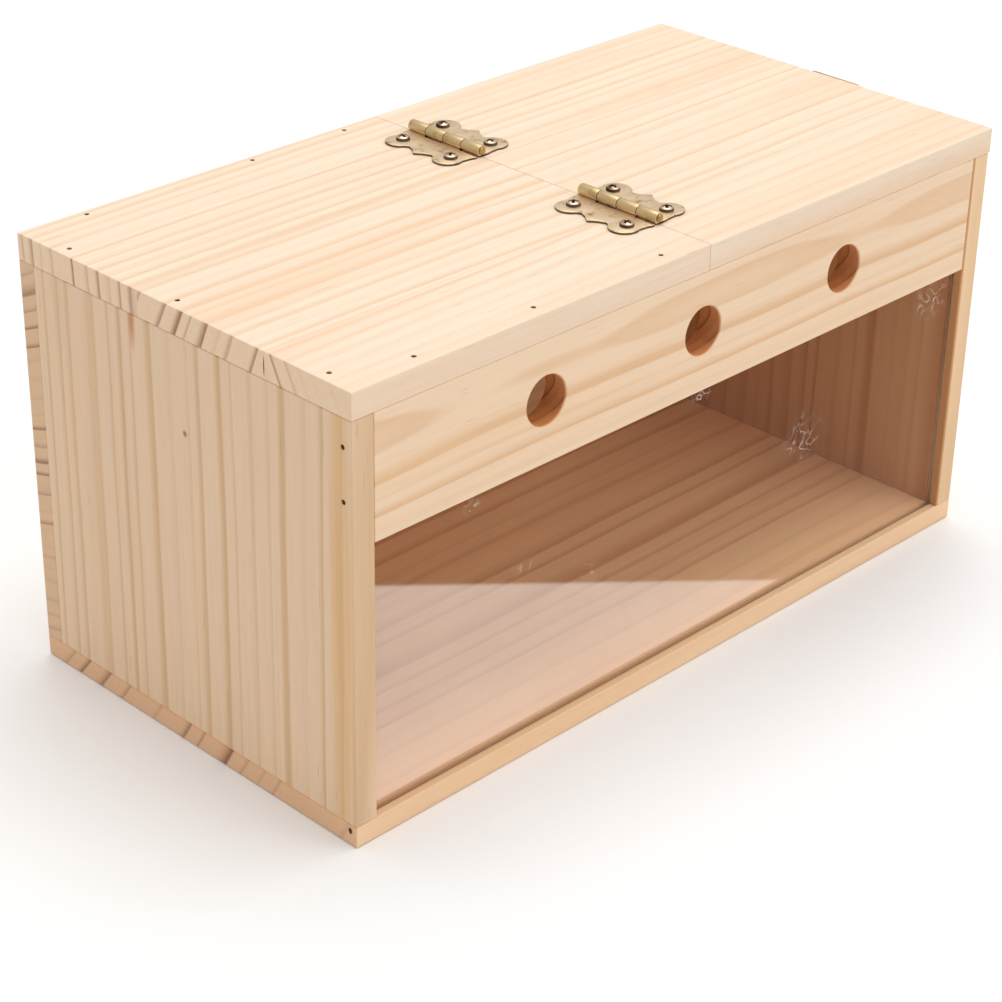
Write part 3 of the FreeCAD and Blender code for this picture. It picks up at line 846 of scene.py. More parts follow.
@dataclass(frozen=True)
class PineFinish:
    """Planed raw pine for one board.

    Args:
        name: The material's name.
        grain: Which way the grain runs.
        centre: The board's middle, in metres.
        hearts: Heart line of each glued strip, as (across, deep) from the middle, in metres.
        edges: Where the strips meet, measured across from the middle.
        spacing: Ring spacing.
        wander: How far the rings wander.
        contrast: Strength of the late wood.
        warmth: Strength of the warm bands.
        late_start: Share of a ring where its late wood starts.
        seed: Number that tells this board from the others.
        pale: Colour of the early wood on the faces.
        band: Colour of the late wood on the faces.
        warm: Colour of the warm bands.
        end_pale: Colour of the early wood on the end grain.
        end_band: Colour of the late wood on the end grain.
        spots: Marks, and painted shade.
        relief: Depth of the bump.
        joint_share: Strength of the lines where strips meet.
        joint_tone: Colour of those lines.
        specular: Strength of the plain reflection.
    """

    name: str
    grain: Grain
    centre: tuple[float, float, float]
    hearts: tuple[tuple[float, float], ...]
    edges: tuple[float, float] = (1.0, 1.0)
    spacing: float = 5.5 * MM
    wander: float = 9.0 * MM
    contrast: float = 0.8
    warmth: float = 0.5
    late_start: float = 0.3
    seed: float = 1.0
    pale: Colour = tint(240, 214, 180)
    band: Colour = tint(222, 178, 126)
    warm: Colour = tint(240, 200, 158)
    end_pale: Colour = tint(222, 190, 160)
    end_band: Colour = tint(160, 118, 88)
    spots: tuple[Spot, ...] = ()
    relief: float = 0.12 * MM
    joint_share: float = 0.07
    joint_tone: Colour = (0.2, 0.12, 0.07)
    specular: float = 0.25

    def material(self, patterns: Patterns) -> bpy.types.Material:
        """The board's material.

        Args:
            patterns: The shared node groups.

        Returns:
            The material.
        """
        material, graph, shader, place = new_material(self.name)
        about_y, about_z = self.grain.value
        turn = Matrix.Rotation(about_y, 3, "Y") @ Matrix.Rotation(about_z, 3, "Z")
        mapping = graph.node("ShaderNodeMapping", vector_type="POINT")
        graph.feed(place, mapping.inputs["Vector"])
        mapping.inputs["Rotation"].default_value = turn.to_euler()
        mapping.inputs["Location"].default_value = -(turn @ Vector(self.centre))
        local = mapping.outputs[0]
        along = turn.transposed() @ RIGHTWARD
        normal = next(node for node in material.node_tree.nodes if node.type == "TEX_COORD").outputs["Normal"]
        facing = graph.math("ABSOLUTE", graph.vector("DOT_PRODUCT", normal, tuple(along)))
        hearts = [(0.0, across, deep) for across, deep in self.hearts]
        hearts += [hearts[-1]] * (3 - len(hearts))
        strips = graph.place(
            patterns.strips,
            Point=local,
            First_Edge=self.edges[0],
            Second_Edge=self.edges[1],
            First_Heart=hearts[0],
            Second_Heart=hearts[1],
            Third_Heart=hearts[2],
        )
        look = graph.place(
            patterns.pine,
            Point=local,
            End_Facing=facing,
            Heart=strips.outputs["Heart"],
            Strip=strips.outputs["Strip"],
            Ring_Spacing=self.spacing,
            Wander=self.wander,
            Contrast=self.contrast,
            Warmth=self.warmth,
            Late_Start=self.late_start,
            Seed=self.seed,
            Pale=self.pale,
            Band=self.band,
            Warm=self.warm,
            End_Pale=self.end_pale,
            End_Band=self.end_band,
        )
        finish_surface(graph, shader, look, self.relief)
        joint = graph.times(strips.outputs["Joint"], self.joint_share)
        colour = graph.mix(joint, look.outputs["Color"], self.joint_tone)
        # Spots multiply the colour: some are marks in the wood, others are painted shade.
        for spot in self.spots:
            sizes = {"Centre": spot.centre, "Reach": spot.reach, "Core": spot.core}
            mask = graph.place(patterns.spot, Point=place, **sizes).outputs["Mask"]
            colour = graph.mix(mask, colour, spot.stain_and_painted_shade, "MULTIPLY")
        graph.feed(colour, shader.inputs["Base Color"])
        shader.inputs["Specular IOR Level"].default_value = self.specular
        return material


@dataclass(frozen=True)
class MetalFinish:
    """A plated or bare metal.

    Args:
        name: The material's name.
        base: Colour of the clean metal.
        tarnish: Colour of the tarnish.
        cover: Share of tarnish, 0 to 1.
        scratch: Strength of the scratches.
        gloss: Roughness where it is clean.
        relief: Depth of the bump.
        metallic: How metallic it is.
        seed: Number that tells its clouds from another's.
        raised: Colour above the raised height, as on the hinge barrels.
        raised_at: Height where that colour starts.
        raised_share: Strength of that colour.
        low: Colour below the low height, as on the dark edges of a stamping; on the hinge screws it is
            painted shade in the cross slots and round the rim of each head.
        low_at: Height where that colour ends.
        low_share: Strength of that colour.
        blend: Height over which the low colour comes in; the raised one takes three times as much.
    """

    name: str
    base: Colour
    tarnish: Colour
    cover: float = 0.5
    scratch: float = 0.5
    gloss: float = 0.25
    relief: float = 0.02 * MM
    metallic: float = 1.0
    seed: float = 2.0
    raised: Colour = (0.0, 0.0, 0.0)
    raised_at: float = 9.0
    raised_share: float = 0.62
    low: Colour = (0.0, 0.0, 0.0)
    low_at: float = -9.0
    low_share: float = 0.85
    blend: float = 0.25 * MM

    def material(self, patterns: Patterns) -> bpy.types.Material:
        """The metal's material, with its tones by height mixed in.

        Args:
            patterns: The shared node groups.

        Returns:
            The material.
        """
        material, graph, shader, place = new_material(self.name)
        look = graph.place(
            patterns.metal,
            Point=place,
            Base=self.base,
            Tarnish=self.tarnish,
            Cover=self.cover,
            Scratch=self.scratch,
            Gloss=self.gloss,
            Seed=self.seed,
        )
        finish_surface(graph, shader, look, self.relief)
        height = graph.split(place)["Z"]
        above_raised_mask = graph.smooth(height, self.raised_at, self.raised_at + 3 * self.blend)
        colour = graph.mix(graph.times(above_raised_mask, self.raised_share), look.outputs["Color"], self.raised)
        dark = graph.smooth(height, self.low_at, self.low_at - self.blend)
        colour = graph.mix(graph.times(dark, self.low_share), colour, self.low)
        graph.feed(colour, shader.inputs["Base Color"])
        shader.inputs["Metallic"].default_value = self.metallic
        return material


@dataclass(frozen=True)
class AcrylicFinish:
    """Clear sheet with a painted reflection over one lower corner, scuffs, and more gloss at grazing angles;
    the painted reflection and the scuffs give off painted light.

    Only the face turned to the eye shows them, so that the sheet's two faces don't count twice.

    Args:
        name: The material's name.
        scuff_and_reflection_tone: Colour of the scuffs and of the painted reflection.
        painted_glow_strength: Strength of the painted light that the painted reflection and the scuffs give
            off.
        painted_reflection_height: Height of the painted reflection's upper edge at the middle of the sheet.
        painted_reflection_slope: Fall of that edge along the sheet.
        painted_reflection_foot: Height where the painted reflection fades out above the lower groove.
        painted_reflection_cover: How much the painted reflection hides.
        film: How much the clear part hides.
        gloss: Share of the grazing gloss.
        scuff_cover: How much a scuff hides.
        roughness: Roughness of the sheet.
        index: Refractive index for the gloss.
        marks: Middle and reach of each cluster of scuffs.
    """

    name: str = "clear acrylic sheet"
    scuff_and_reflection_tone: Colour = (1.0, 0.9, 0.82)
    painted_glow_strength: float = 0.7
    painted_reflection_height: float = 32.3 * MM
    painted_reflection_slope: float = -0.397
    painted_reflection_foot: float = 11.0 * MM
    painted_reflection_cover: float = 0.2
    film: float = 0.006
    gloss: float = 0.25
    scuff_cover: float = 0.22
    roughness: float = 0.12
    index: float = 1.49
    marks: tuple[tuple[tuple[float, float, float], float], ...] = ()

    def painted_reflection(self, graph: Graph, place: Socket) -> Socket:
        """Mask of the painted reflection, which stands in for the reflection of a pale surface: below height
        + slope x, above the foot, and a little cloudy.

        Args:
            graph: The material's graph.
            place: Object coordinates.

        Returns:
            The mask.
        """
        x, _, z = graph.split(place)
        edge = graph.plus(self.painted_reflection_height, graph.times(x, self.painted_reflection_slope))
        below = graph.smooth(graph.minus(z, edge), 0.5 * MM, -1.6 * MM)
        low = graph.smooth(z, self.painted_reflection_foot - 1.2 * MM, self.painted_reflection_foot + 0.6 * MM)
        cloud = graph.noise(place, (22.0, 1.0, 30.0), 2.0, 3.0)
        even = graph.plus(0.86, graph.times(cloud, 0.28))
        return graph.times(graph.times(below, low), even)

    def scuffs(self, graph: Graph, place: Socket, patterns: Patterns) -> Socket:
        """Mask of the scuffs: smears, hair scratches and specks inside each cluster.

        Args:
            graph: The material's graph.
            place: Object coordinates.
            patterns: The shared node groups.

        Returns:
            The mask.
        """
        clusters: Any = 0.0
        for centre, reach in self.marks:
            sizes = {"Centre": centre, "Reach": (reach, 1.0, reach * 0.8), "Core": 0.1}
            spot = graph.place(patterns.spot, Point=place, **sizes)
            clusters = graph.math("MAXIMUM", clusters, spot.outputs["Mask"])
        smear = graph.smooth(graph.noise(place, (260.0, 1.0, 420.0), 4.0, 5.0), 0.54, 0.72)
        ridge = graph.minus(graph.noise(place, (150.0, 1.0, 150.0), 9.0, 1.0), 0.5)
        hair = graph.smooth(graph.math("ABSOLUTE", ridge), 0.014, 0.004)
        speck = graph.smooth(graph.noise(place, (1100.0, 1.0, 1100.0), 6.0, 0.0), 0.72, 0.78)
        mark = graph.math("MAXIMUM", graph.math("MAXIMUM", smear, hair), speck)
        return graph.times(clusters, mark)

    def material(self, patterns: Patterns) -> bpy.types.Material:
        """The sheet's material: its alpha is the film, the gloss, the painted reflection and the scuffs
        together.

        Args:
            patterns: The shared node groups.

        Returns:
            The material.
        """
        material, graph, shader, place = new_material(self.name)
        tone = graph.noise(place, (40.0, 1.0, 40.0), 7.0, 2.0)
        deeper = tuple(0.97 * channel for channel in self.scuff_and_reflection_tone)
        colour = graph.mix(tone, self.scuff_and_reflection_tone, deeper)
        graph.feed(colour, shader.inputs["Base Color"])
        # Painted reflection: a pale sheet of tone over the lower corner stands in for the reflection of a
        # pale surface.
        painted_reflection = self.painted_reflection(graph, place)
        marks = self.scuffs(graph, place, patterns)
        # Painted light: the painted reflection and the scuffs give off light in the sheet's tone, though they
        # are no lamp.
        painted_glow = graph.mix(graph.math("MAXIMUM", painted_reflection, marks, clamp=True), (0.0, 0.0, 0.0), colour)
        graph.feed(painted_glow, shader.inputs["Emission Color"])
        shader.inputs["Emission Strength"].default_value = self.painted_glow_strength
        shader.inputs["Roughness"].default_value = self.roughness
        grazing = graph.node("ShaderNodeFresnel")
        grazing.inputs["IOR"].default_value = self.index
        hidden = graph.plus(self.film, graph.times(grazing.outputs[0], self.gloss))
        hidden = graph.plus(hidden, graph.times(painted_reflection, self.painted_reflection_cover))
        scuffs = graph.times(marks, self.scuff_cover)
        geometry = graph.node("ShaderNodeNewGeometry")
        near_face = graph.minus(1.0, geometry.outputs["Backfacing"])
        once = graph.times(graph.math("ADD", hidden, scuffs, clamp=True), near_face)
        graph.feed(once, shader.inputs["Alpha"])
        return material


# Pieces -------------------------------------------------------------------------------------------


def add_piece(
    name: str, surface: Surface, body: str, replaced: Sequence[str], material: bpy.types.Material
) -> bpy.types.Object:
    """Makes a surface a finished piece of the model.

    Args:
        name: The piece's name.
        surface: Its points and faces, in place.
        body: The frame's body that it rides on.
        replaced: The frame's nodes that it stands for.
        material: Its finish.

    Returns:
        The piece.
    """
    mesh = bpy.data.meshes.new(name)
    mesh.from_pydata(surface.points.tolist(), [], surface.faces)
    mesh.update()
    mesh.validate()
    mesh.polygons.foreach_set("use_smooth", np.ones(len(mesh.polygons), bool))
    mesh.set_sharp_from_angle(angle=SHARP_ANGLE)
    mesh.materials.append(material)
    piece = bpy.data.objects.new(name, mesh)
    bpy.context.scene.collection.objects.link(piece)
    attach(piece, body)
    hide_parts(*replaced)
    log.info("%s: %d faces on %s, for %s", name, len(surface.faces), body, ", ".join(replaced))
    return piece


def middle_of(node: str) -> Vector:
    """The middle of a frame node's box."""
    low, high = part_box(node)
    return (low + high) / 2


def dress(frame: dict, nodes: Iterable[str], material: bpy.types.Material) -> None:
    """Gives frame nodes a better finish through their material slots.

    Args:
        frame: The loaded frame.
        nodes: The nodes' names.
        material: Their finish.
    """
    for name in nodes:
        mesh = frame["nodes"][name].data
        if not mesh.materials:
            mesh.materials.append(material)
        for index in range(len(mesh.materials)):
            mesh.materials[index] = material
        log.info("%s: frame node in %s", name, material.name)


@dataclass
class Boards:
    """The boards and their nails, which are the frame's own nodes.

    Args:
        frame: The loaded frame.
        patterns: The shared node groups.
        vent_spacing: Distance between the vents.
        vent_drop: Depth of their middles below the front rail's top.
        vent_radius: Their radius.
        bore: Colour that their walls are multiplied by, darker and warmer.
        bore_margin: How far that tone reaches round them.
        bore_core: Share of that reach at full strength.
    """

    frame: dict
    patterns: Patterns
    vent_spacing: float = 71.4 * MM
    vent_drop: float = 20.3 * MM
    vent_radius: float = 8.25 * MM
    bore: Colour = (0.8, 0.48, 0.27)
    bore_margin: float = 0.4 * MM
    bore_core: float = 0.965

    def finishes(self) -> dict[str, PineFinish]:
        """The finish of each board, by its node.

        Returns:
            The finishes by frame node.
        """
        top_z = middle_of("fixed_top_board").z
        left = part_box("fixed_top_board")[0].x
        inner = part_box("right_end_panel")[0].x
        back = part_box("back_board")[0].y
        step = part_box("floor_board")[1].z
        # Painted light: the top boards' colours are paler and less saturated than the other boards', for the
        # top that faces the lamps.
        top = {
            "grain": Grain.LENGTHWISE,
            "hearts": ((-0.25, 0.09), (0.26, 0.13), (0.30, -0.015)),
            "edges": (-0.0402, 0.0173),
            "spacing": 5.6 * MM,
            "contrast": 0.6,
            "warmth": 0.5,
            "pale": tint(236, 216, 192),
            "band": tint(226, 181, 136),
            "warm": tint(236, 197, 163),
            "end_pale": tint(236, 206, 174),
            "end_band": tint(156, 112, 80),
        }
        # Painted shade: a near-black line on the top board's end grain stands in for the shade inside an open
        # crack.
        crack = Spot((left, -0.0402, 0.1492), (1.5 * MM, 0.3 * MM, 4.2 * MM), (0.07, 0.04, 0.03), 0.4)
        finishes = {
            "fixed_top_board": PineFinish(
                "pine, fixed top", centre=(0.0, 0.0, top_z), seed=3.0, spots=(crack,), **top
            ),
            "lid_board": PineFinish("pine, lid", centre=(0.0, 0.0, top_z), seed=4.2, **top),
            "front_rail": PineFinish(
                "pine, front rail",
                Grain.LENGTHWISE,
                tuple(middle_of("front_rail")),
                ((0.026, 0.012),),
                spacing=3.0 * MM,
                wander=8 * MM,
                contrast=0.8,
                warmth=0.4,
                seed=6.0,
                pale=tint(238, 209, 178),
                band=tint(218, 168, 118),
                warm=tint(238, 194, 148),
                spots=self.bores(),
            ),
            "left_end_panel": PineFinish(
                "pine, left end",
                Grain.UPRIGHT,
                tuple(middle_of("left_end_panel")),
                ((0.26, 0.03),),
                spacing=7.6 * MM,
                wander=6 * MM,
                contrast=0.7,
                warmth=0.12,
                late_start=0.5,
                seed=1.4,
                # Painted shade: pale, band and warm here are darker than on the other boards, for the side
                # turned away from the lamps.
                pale=tint(230, 199, 167),
                band=tint(200, 158, 108),
                warm=tint(224, 185, 144),
                spots=(
                    Spot((left, 0.0208, 0.1445), (3 * MM, 2.2 * MM, 15 * MM), (0.72, 0.5, 0.36), 0.15),
                    Spot((left, -0.0026, 0.1135), (3 * MM, 1.4 * MM, 1.6 * MM), (0.45, 0.36, 0.28), 0.2),
                    Spot((left, -0.0715, 0.08), (3 * MM, 6 * MM, 0.12), (0.97, 0.88, 0.72), 0.5),
                ),
            ),
            "right_end_panel": PineFinish(
                "pine, right end",
                Grain.UPRIGHT,
                tuple(middle_of("right_end_panel")),
                ((0.24, 0.05),),
                spacing=7.4 * MM,
                contrast=0.85,
                warmth=0.3,
                late_start=0.45,
                seed=8.8,
                pale=tint(234, 200, 160),
                band=tint(206, 152, 98),
                # Painted shade: the whole inner face of the right end is darker and browner, for the shade
                # inside the box.
                spots=(Spot((inner, 0.0, 0.076), (1.5 * MM, 0.3, 0.3), (0.69, 0.5, 0.36), 0.5),),
            ),
            "back_board": PineFinish(
                "pine, back board",
                Grain.LENGTHWISE,
                tuple(middle_of("back_board")),
                ((0.05, 0.16),),
                spacing=5.6 * MM,
                contrast=0.65,
                seed=10.5,
                pale=tint(240, 212, 176),
                end_pale=tint(220, 184, 148),
                end_band=tint(150, 102, 72),
                # Painted shade: the inner face of the back board is darker, for the shade inside the box.
                spots=(Spot((0.0, back, 0.076), (0.1445, 1.5 * MM, 0.3), (0.87, 0.72, 0.62), 0.98),),
            ),
            "floor_board": PineFinish(
                "pine, floor",
                Grain.LENGTHWISE,
                tuple(middle_of("floor_board")),
                ((0.22, 0.13),),
                spacing=8.6 * MM,
                wander=9 * MM,
                contrast=0.78,
                warmth=0.35,
                late_start=0.45,
                seed=12.1,
                pale=tint(244, 208, 168),
                band=tint(210, 156, 108),
                warm=tint(238, 188, 144),
                end_pale=tint(226, 184, 146),
                end_band=tint(140, 92, 62),
                spots=(
                    # Painted shade: a near-black spot on the floor's end grain by the front left corner
                    # stands in for the dark inside of a knot hole.
                    Spot((left, -0.0742, 0.0052), (2 * MM, 1.1 * MM, 1.5 * MM), (0.1, 0.04, 0.03), 0.5),
                    # Painted shade: the floor's inner face is a little darker and warmer, for the shade
                    # inside the box.
                    Spot((0.0, 0.0, step), (10.0, 0.0745, 1.0 * MM), (1.04, 0.95, 0.85), 0.97),
                ),
            ),
        }
        log.info("%d board finishes", len(finishes))
        return finishes

    def bores(self) -> tuple[Spot, ...]:
        """The warm, darker walls of the three vents.

        Returns:
            A darker, warmer tone for each vent.
        """
        low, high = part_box("front_rail")
        reach = self.vent_radius + self.bore_margin
        spots = []
        for place in (-self.vent_spacing, 0.0, self.vent_spacing):
            centre = (place, low.y, high.z - self.vent_drop)
            spots.append(Spot(centre, (reach, 1.0, reach), self.bore, self.bore_core))
        return tuple(spots)

    def build(self) -> None:
        """Dresses the boards and the nails."""
        for node, finish in self.finishes().items():
            dress(self.frame, [node], finish.material(self.patterns))
        steel = MetalFinish(
            "nail steel", tint(92, 84, 76), tint(48, 38, 32), cover=0.6, scratch=0.3, gloss=0.45
        )
        nail = steel.material(self.patterns)
        dress(self.frame, ["top_nails", "end_nails", "back_nails", "floor_nails"], nail)


@dataclass
class Pane:
    """The clear sheet in its grooves.

    Args:
        patterns: The shared node groups.
        rim: Radius of its sawn and eased rims.
        corner: Size of its eased corners.
        marks: Place across, place up and reach of each cluster of scuffs.
    """

    patterns: Patterns
    rim: float = 0.2 * MM
    corner: float = 0.8 * MM
    marks: tuple[tuple[float, float, float], ...] = (
        (0.0588, 0.0638, 16 * MM),
        (0.0037, 0.0998, 7 * MM),
        (-0.0461, 0.0546, 7 * MM),
        (-0.0761, 0.0685, 6 * MM),
        (0.1279, 0.0948, 14 * MM),
        (-0.1, 0.098, 6 * MM),
    )

    def build(self) -> None:
        """Makes the sheet as a slab on edge."""
        low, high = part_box("window_pane")
        outline = eased([(low.x, low.z), (high.x, low.z), (high.x, high.z), (low.x, high.z)], self.corner)
        plate = slab(outline, high.y - low.y, self.rim)
        upright = Matrix(((1, 0, 0, 0), (0, 0, -1, high.y), (0, 1, 0, 0), (0, 0, 0, 1)))
        marks = tuple(((across, low.y, up), reach) for across, up, reach in self.marks)
        finish = AcrylicFinish(marks=marks).material(self.patterns)
        add_piece("window_sheet", plate.moved(upright), Body.BOX, ["window_pane"], finish)


@dataclass
class ButterflyHinge:
    """A hinge of two like stampings on one pin.

    Args:
        place: "front" or "rear".
        brass: Finish of the leaves.
        pin_brass: Finish of the pin.
        length: Length along the pin.
        knuckles: Number of knuckles.
        gap: Gap between knuckles.
        sheet: Thickness of the stamping.
        barrel: Outer radius of a knuckle.
        bore: Inner radius of a knuckle.
        pin_radius: Radius of the pin.
        head_radius: Radius of the pin's heads.
        head_height: Height of the pin's heads.
        head_flat: Share of a head's radius that is flat.
        lobe_radius: Radius of the arcs round the screws.
        lobe_out: Distance of an arc's middle from the pin.
        lobe_along: Distance of an arc's middle from the hinge's middle.
        lobe_inner: Angle at which an arc meets the point between the arcs, in degrees.
        lobe_outer: Angle at which it meets the shoulder, in degrees.
        point: Corners of the point between the arcs, in millimetres.
        shoulder: How far out the ends of the plate step back.
        shoulder_step: How far they step back.
        neck: Where the ends of the plate start.
        plate_start: Where the plate starts beside the other leaf's knuckles.
        under_barrel: Where it starts beside its own knuckles.
        roll_end: Angle at which the roll of a knuckle ends, in degrees.
        roll_slant: How much sooner the inside of the roll ends, in degrees.
        edge_share: How much a knuckle narrows at its ends.
        rim: Radius of the stamping's rims.
    """

    place: str
    brass: bpy.types.Material
    pin_brass: bpy.types.Material
    length: float = 34.0 * MM
    knuckles: int = 4
    gap: float = 0.3 * MM
    sheet: float = 0.8 * MM
    barrel: float = 2.05 * MM
    bore: float = 1.03 * MM
    pin_radius: float = 1.0 * MM
    head_radius: float = 1.4 * MM
    head_height: float = 0.42 * MM
    head_flat: float = 0.75
    lobe_radius: float = 5.2 * MM
    lobe_out: float = 10.7 * MM
    lobe_along: float = 11.5 * MM
    lobe_inner: float = 62.0
    lobe_outer: float = 116.0
    point: tuple[tuple[float, float], ...] = (
        (12.3, -5.5),
        (13.3, -2.9),
        (15.6, 0.0),
        (13.3, 2.9),
        (12.3, 5.5),
    )
    shoulder: float = 5.0 * MM
    shoulder_step: float = 0.5 * MM
    neck: float = 3.5 * MM
    plate_start: float = 2.3 * MM
    under_barrel: float = 0.3 * MM
    roll_end: float = -390.0
    roll_slant: float = 2.0
    edge_share: float = 0.14
    rim: float = 0.2 * MM

    def outline(self) -> np.ndarray:
        """The stamping's plan, with u out from the pin and v along it.

        The outer side is two arcs round the screws and a point between them. The inner side steps out to the
        plate's start beside each knuckle of the other leaf.

        Returns:
            Points of the outline.
        """
        half = self.length / 2
        outer = [
            np.array([(self.shoulder, -half + self.shoulder_step)]),
            arc((self.lobe_out, -self.lobe_along), self.lobe_radius, -self.lobe_outer, self.lobe_inner, 16),
            np.array(self.point) * MM,
            arc((self.lobe_out, self.lobe_along), self.lobe_radius, -self.lobe_inner, self.lobe_outer, 16),
            np.array([(self.shoulder, half - self.shoulder_step), (self.neck, half)]),
        ]
        pitch = self.length / self.knuckles
        inner = []
        for index in reversed(range(self.knuckles)):
            start, end = -half + index * pitch, -half + (index + 1) * pitch
            own = index % 2 == 0
            u = self.under_barrel if own else self.plate_start
            trim = self.gap / 2 if own else -self.gap / 2
            low = start + trim if index else start + max(trim, 0.0)
            high = end - trim if index < self.knuckles - 1 else end
            inner += [(u, high), (u, low)]
        inner.append((self.neck, -half + self.gap / 2))
        return np.concatenate(outer + [np.array(inner)])

    def knuckle(self, start: float, end: float, axis_height: float) -> Surface:
        """One rolled knuckle, as a C-shaped section carried along the pin.

        The section is the outer circle from the plate round over the top to a lip above the plate, and back
        along the inner circle. It narrows a little at its two ends, as a broken edge.

        Args:
            start: Where it starts along the pin.
            end: Where it ends.
            axis_height: Height of the pin's axis over the foot of the plate.

        Returns:
            The knuckle.
        """
        outer = arc((0.0, 0.0), self.barrel, -90.0, self.roll_end, 40)
        inner = arc((0.0, 0.0), self.bore, self.roll_end + self.roll_slant, -90.0, 40)
        foot = np.array([(self.plate_start, -axis_height + self.sheet), (self.plate_start, -axis_height)])
        section = np.concatenate([outer, inner, foot])[::-1]
        middle = (self.barrel + self.bore) / 2
        radius = np.linalg.norm(section, axis=1, keepdims=True)
        thin = section + (middle - radius) * section / radius * self.edge_share
        steps = [(start, thin), (start + self.rim, section), (end - self.rim, section), (end, thin)]
        rings = [np.stack([s[:, 0], np.full(len(s), v), s[:, 1] + axis_height], axis=-1) for v, s in steps]
        return capped(np.stack(rings))

    def leaf(self, axis_height: float) -> Surface:
        """One stamping, its plate along +X from the pin.

        Args:
            axis_height: Height of the pin's axis over the foot of the plate.

        Returns:
            The stamping.
        """
        pitch = self.length / self.knuckles
        parts = [slab(self.outline(), self.sheet, self.rim)]
        for index in range(0, self.knuckles, 2):
            start = -self.length / 2 + index * pitch
            parts.append(self.knuckle(start + self.gap / 2, start + pitch - self.gap / 2, axis_height))
        return joined(parts)

    def pin(self, middle: Vector) -> Surface:
        """The pin, with a small domed head at each end.

        Args:
            middle: Where its middle is.

        Returns:
            The pin.
        """
        half, head = self.length / 2, self.head_radius
        flat, tip = head * self.head_flat, half + self.head_height
        corners = [
            (0.0, -tip),
            (flat, -tip),
            (head, -half),
            (self.pin_radius, -half),
            (self.pin_radius, half),
            (head, half),
            (flat, tip),
            (0.0, tip),
        ]
        profile = eased(corners, self.rim, 3, closed=False)
        return turned(profile, 24).moved(stand(middle, BACKWARD))

    def build(self) -> None:
        """Makes the two leaves and the pin."""
        pin_node = f"{self.place}_hinge_pin"
        middle = middle_of(pin_node)
        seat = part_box(f"{self.place}_hinge_lid_leaf")[0].z
        leaf = self.leaf(middle.z - seat)
        foot = Vector((middle.x, middle.y, seat))
        for side, body, spin in (("lid", Body.LID, 0.0), ("fixed", Body.BOX, math.pi)):
            node = f"{self.place}_hinge_{side}_leaf"
            shape = leaf.moved(stand(foot, UP, spin))
            add_piece(f"{self.place}_hinge_leaf_{side}_side", shape, body, [node], self.brass)
        add_piece(
            f"{self.place}_hinge_pin_rod", self.pin(middle), Body.BOX, [pin_node], self.pin_brass
        )


@dataclass
class HingeScrews:
    """Pan-head screws with cross slots, one group on each side of the pins.

    Args:
        metal: Their finish.
        out: Distance of a screw from the pin's axis.
        along: Distance of a screw from the hinge's middle.
        sheet: Thickness of the leaf under the heads.
        shank: Length of the shank.
        shank_radius: Radius of the shank.
        taper_start: Share of the shank's length where its point starts.
        turns: Turn of the heads in degrees: of all, more by hinge, by end and by side.
        head: Shape of the heads.
    """

    metal: bpy.types.Material
    out: float = 9.4 * MM
    along: float = 11.6 * MM
    sheet: float = 0.8 * MM
    shank: float = 6.8 * MM
    shank_radius: float = 1.25 * MM
    taper_start: float = 0.7
    turns: tuple[float, float, float, float] = (23.0, 31.0, 17.0, 40.0)
    head: CrossHead = CrossHead(2.4 * MM, 1.5 * MM, 0.55 * MM, 3.2 * MM, 0.9 * MM, 1.0 * MM)

    def screw(self) -> Surface:
        """One screw, its seat at the origin.

        Returns:
            The screw.
        """
        radius, taper = self.shank_radius, -self.shank * self.taper_start
        profile = [(0.0, -self.shank), (radius, taper), (radius, 0.0), (0.0, 0.0)]
        return joined([self.head.surface(), turned(np.array(profile), 20)])

    def build(self) -> None:
        """Makes both groups, each screw turned by its own angle."""
        screw = self.screw()
        first, by_hinge, by_end, by_side = self.turns
        for side, body, node in (
            (-1, Body.BOX, "hinge_screws_fixed_side"),
            (1, Body.LID, "hinge_screws_lid_side"),
        ):
            parts = []
            for number, place in enumerate(("front", "rear")):
                pin = middle_of(f"{place}_hinge_pin")
                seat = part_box(f"{place}_hinge_lid_leaf")[0].z + self.sheet
                for end in (-1, 1):
                    spot = (pin.x + side * self.out, pin.y + end * self.along, seat)
                    spin = math.radians(first + by_hinge * number + by_end * end + by_side * (side > 0))
                    parts.append(screw.moved(stand(spot, UP, spin)))
            add_piece(f"{node}_heads", joined(parts), body, [node], self.metal)


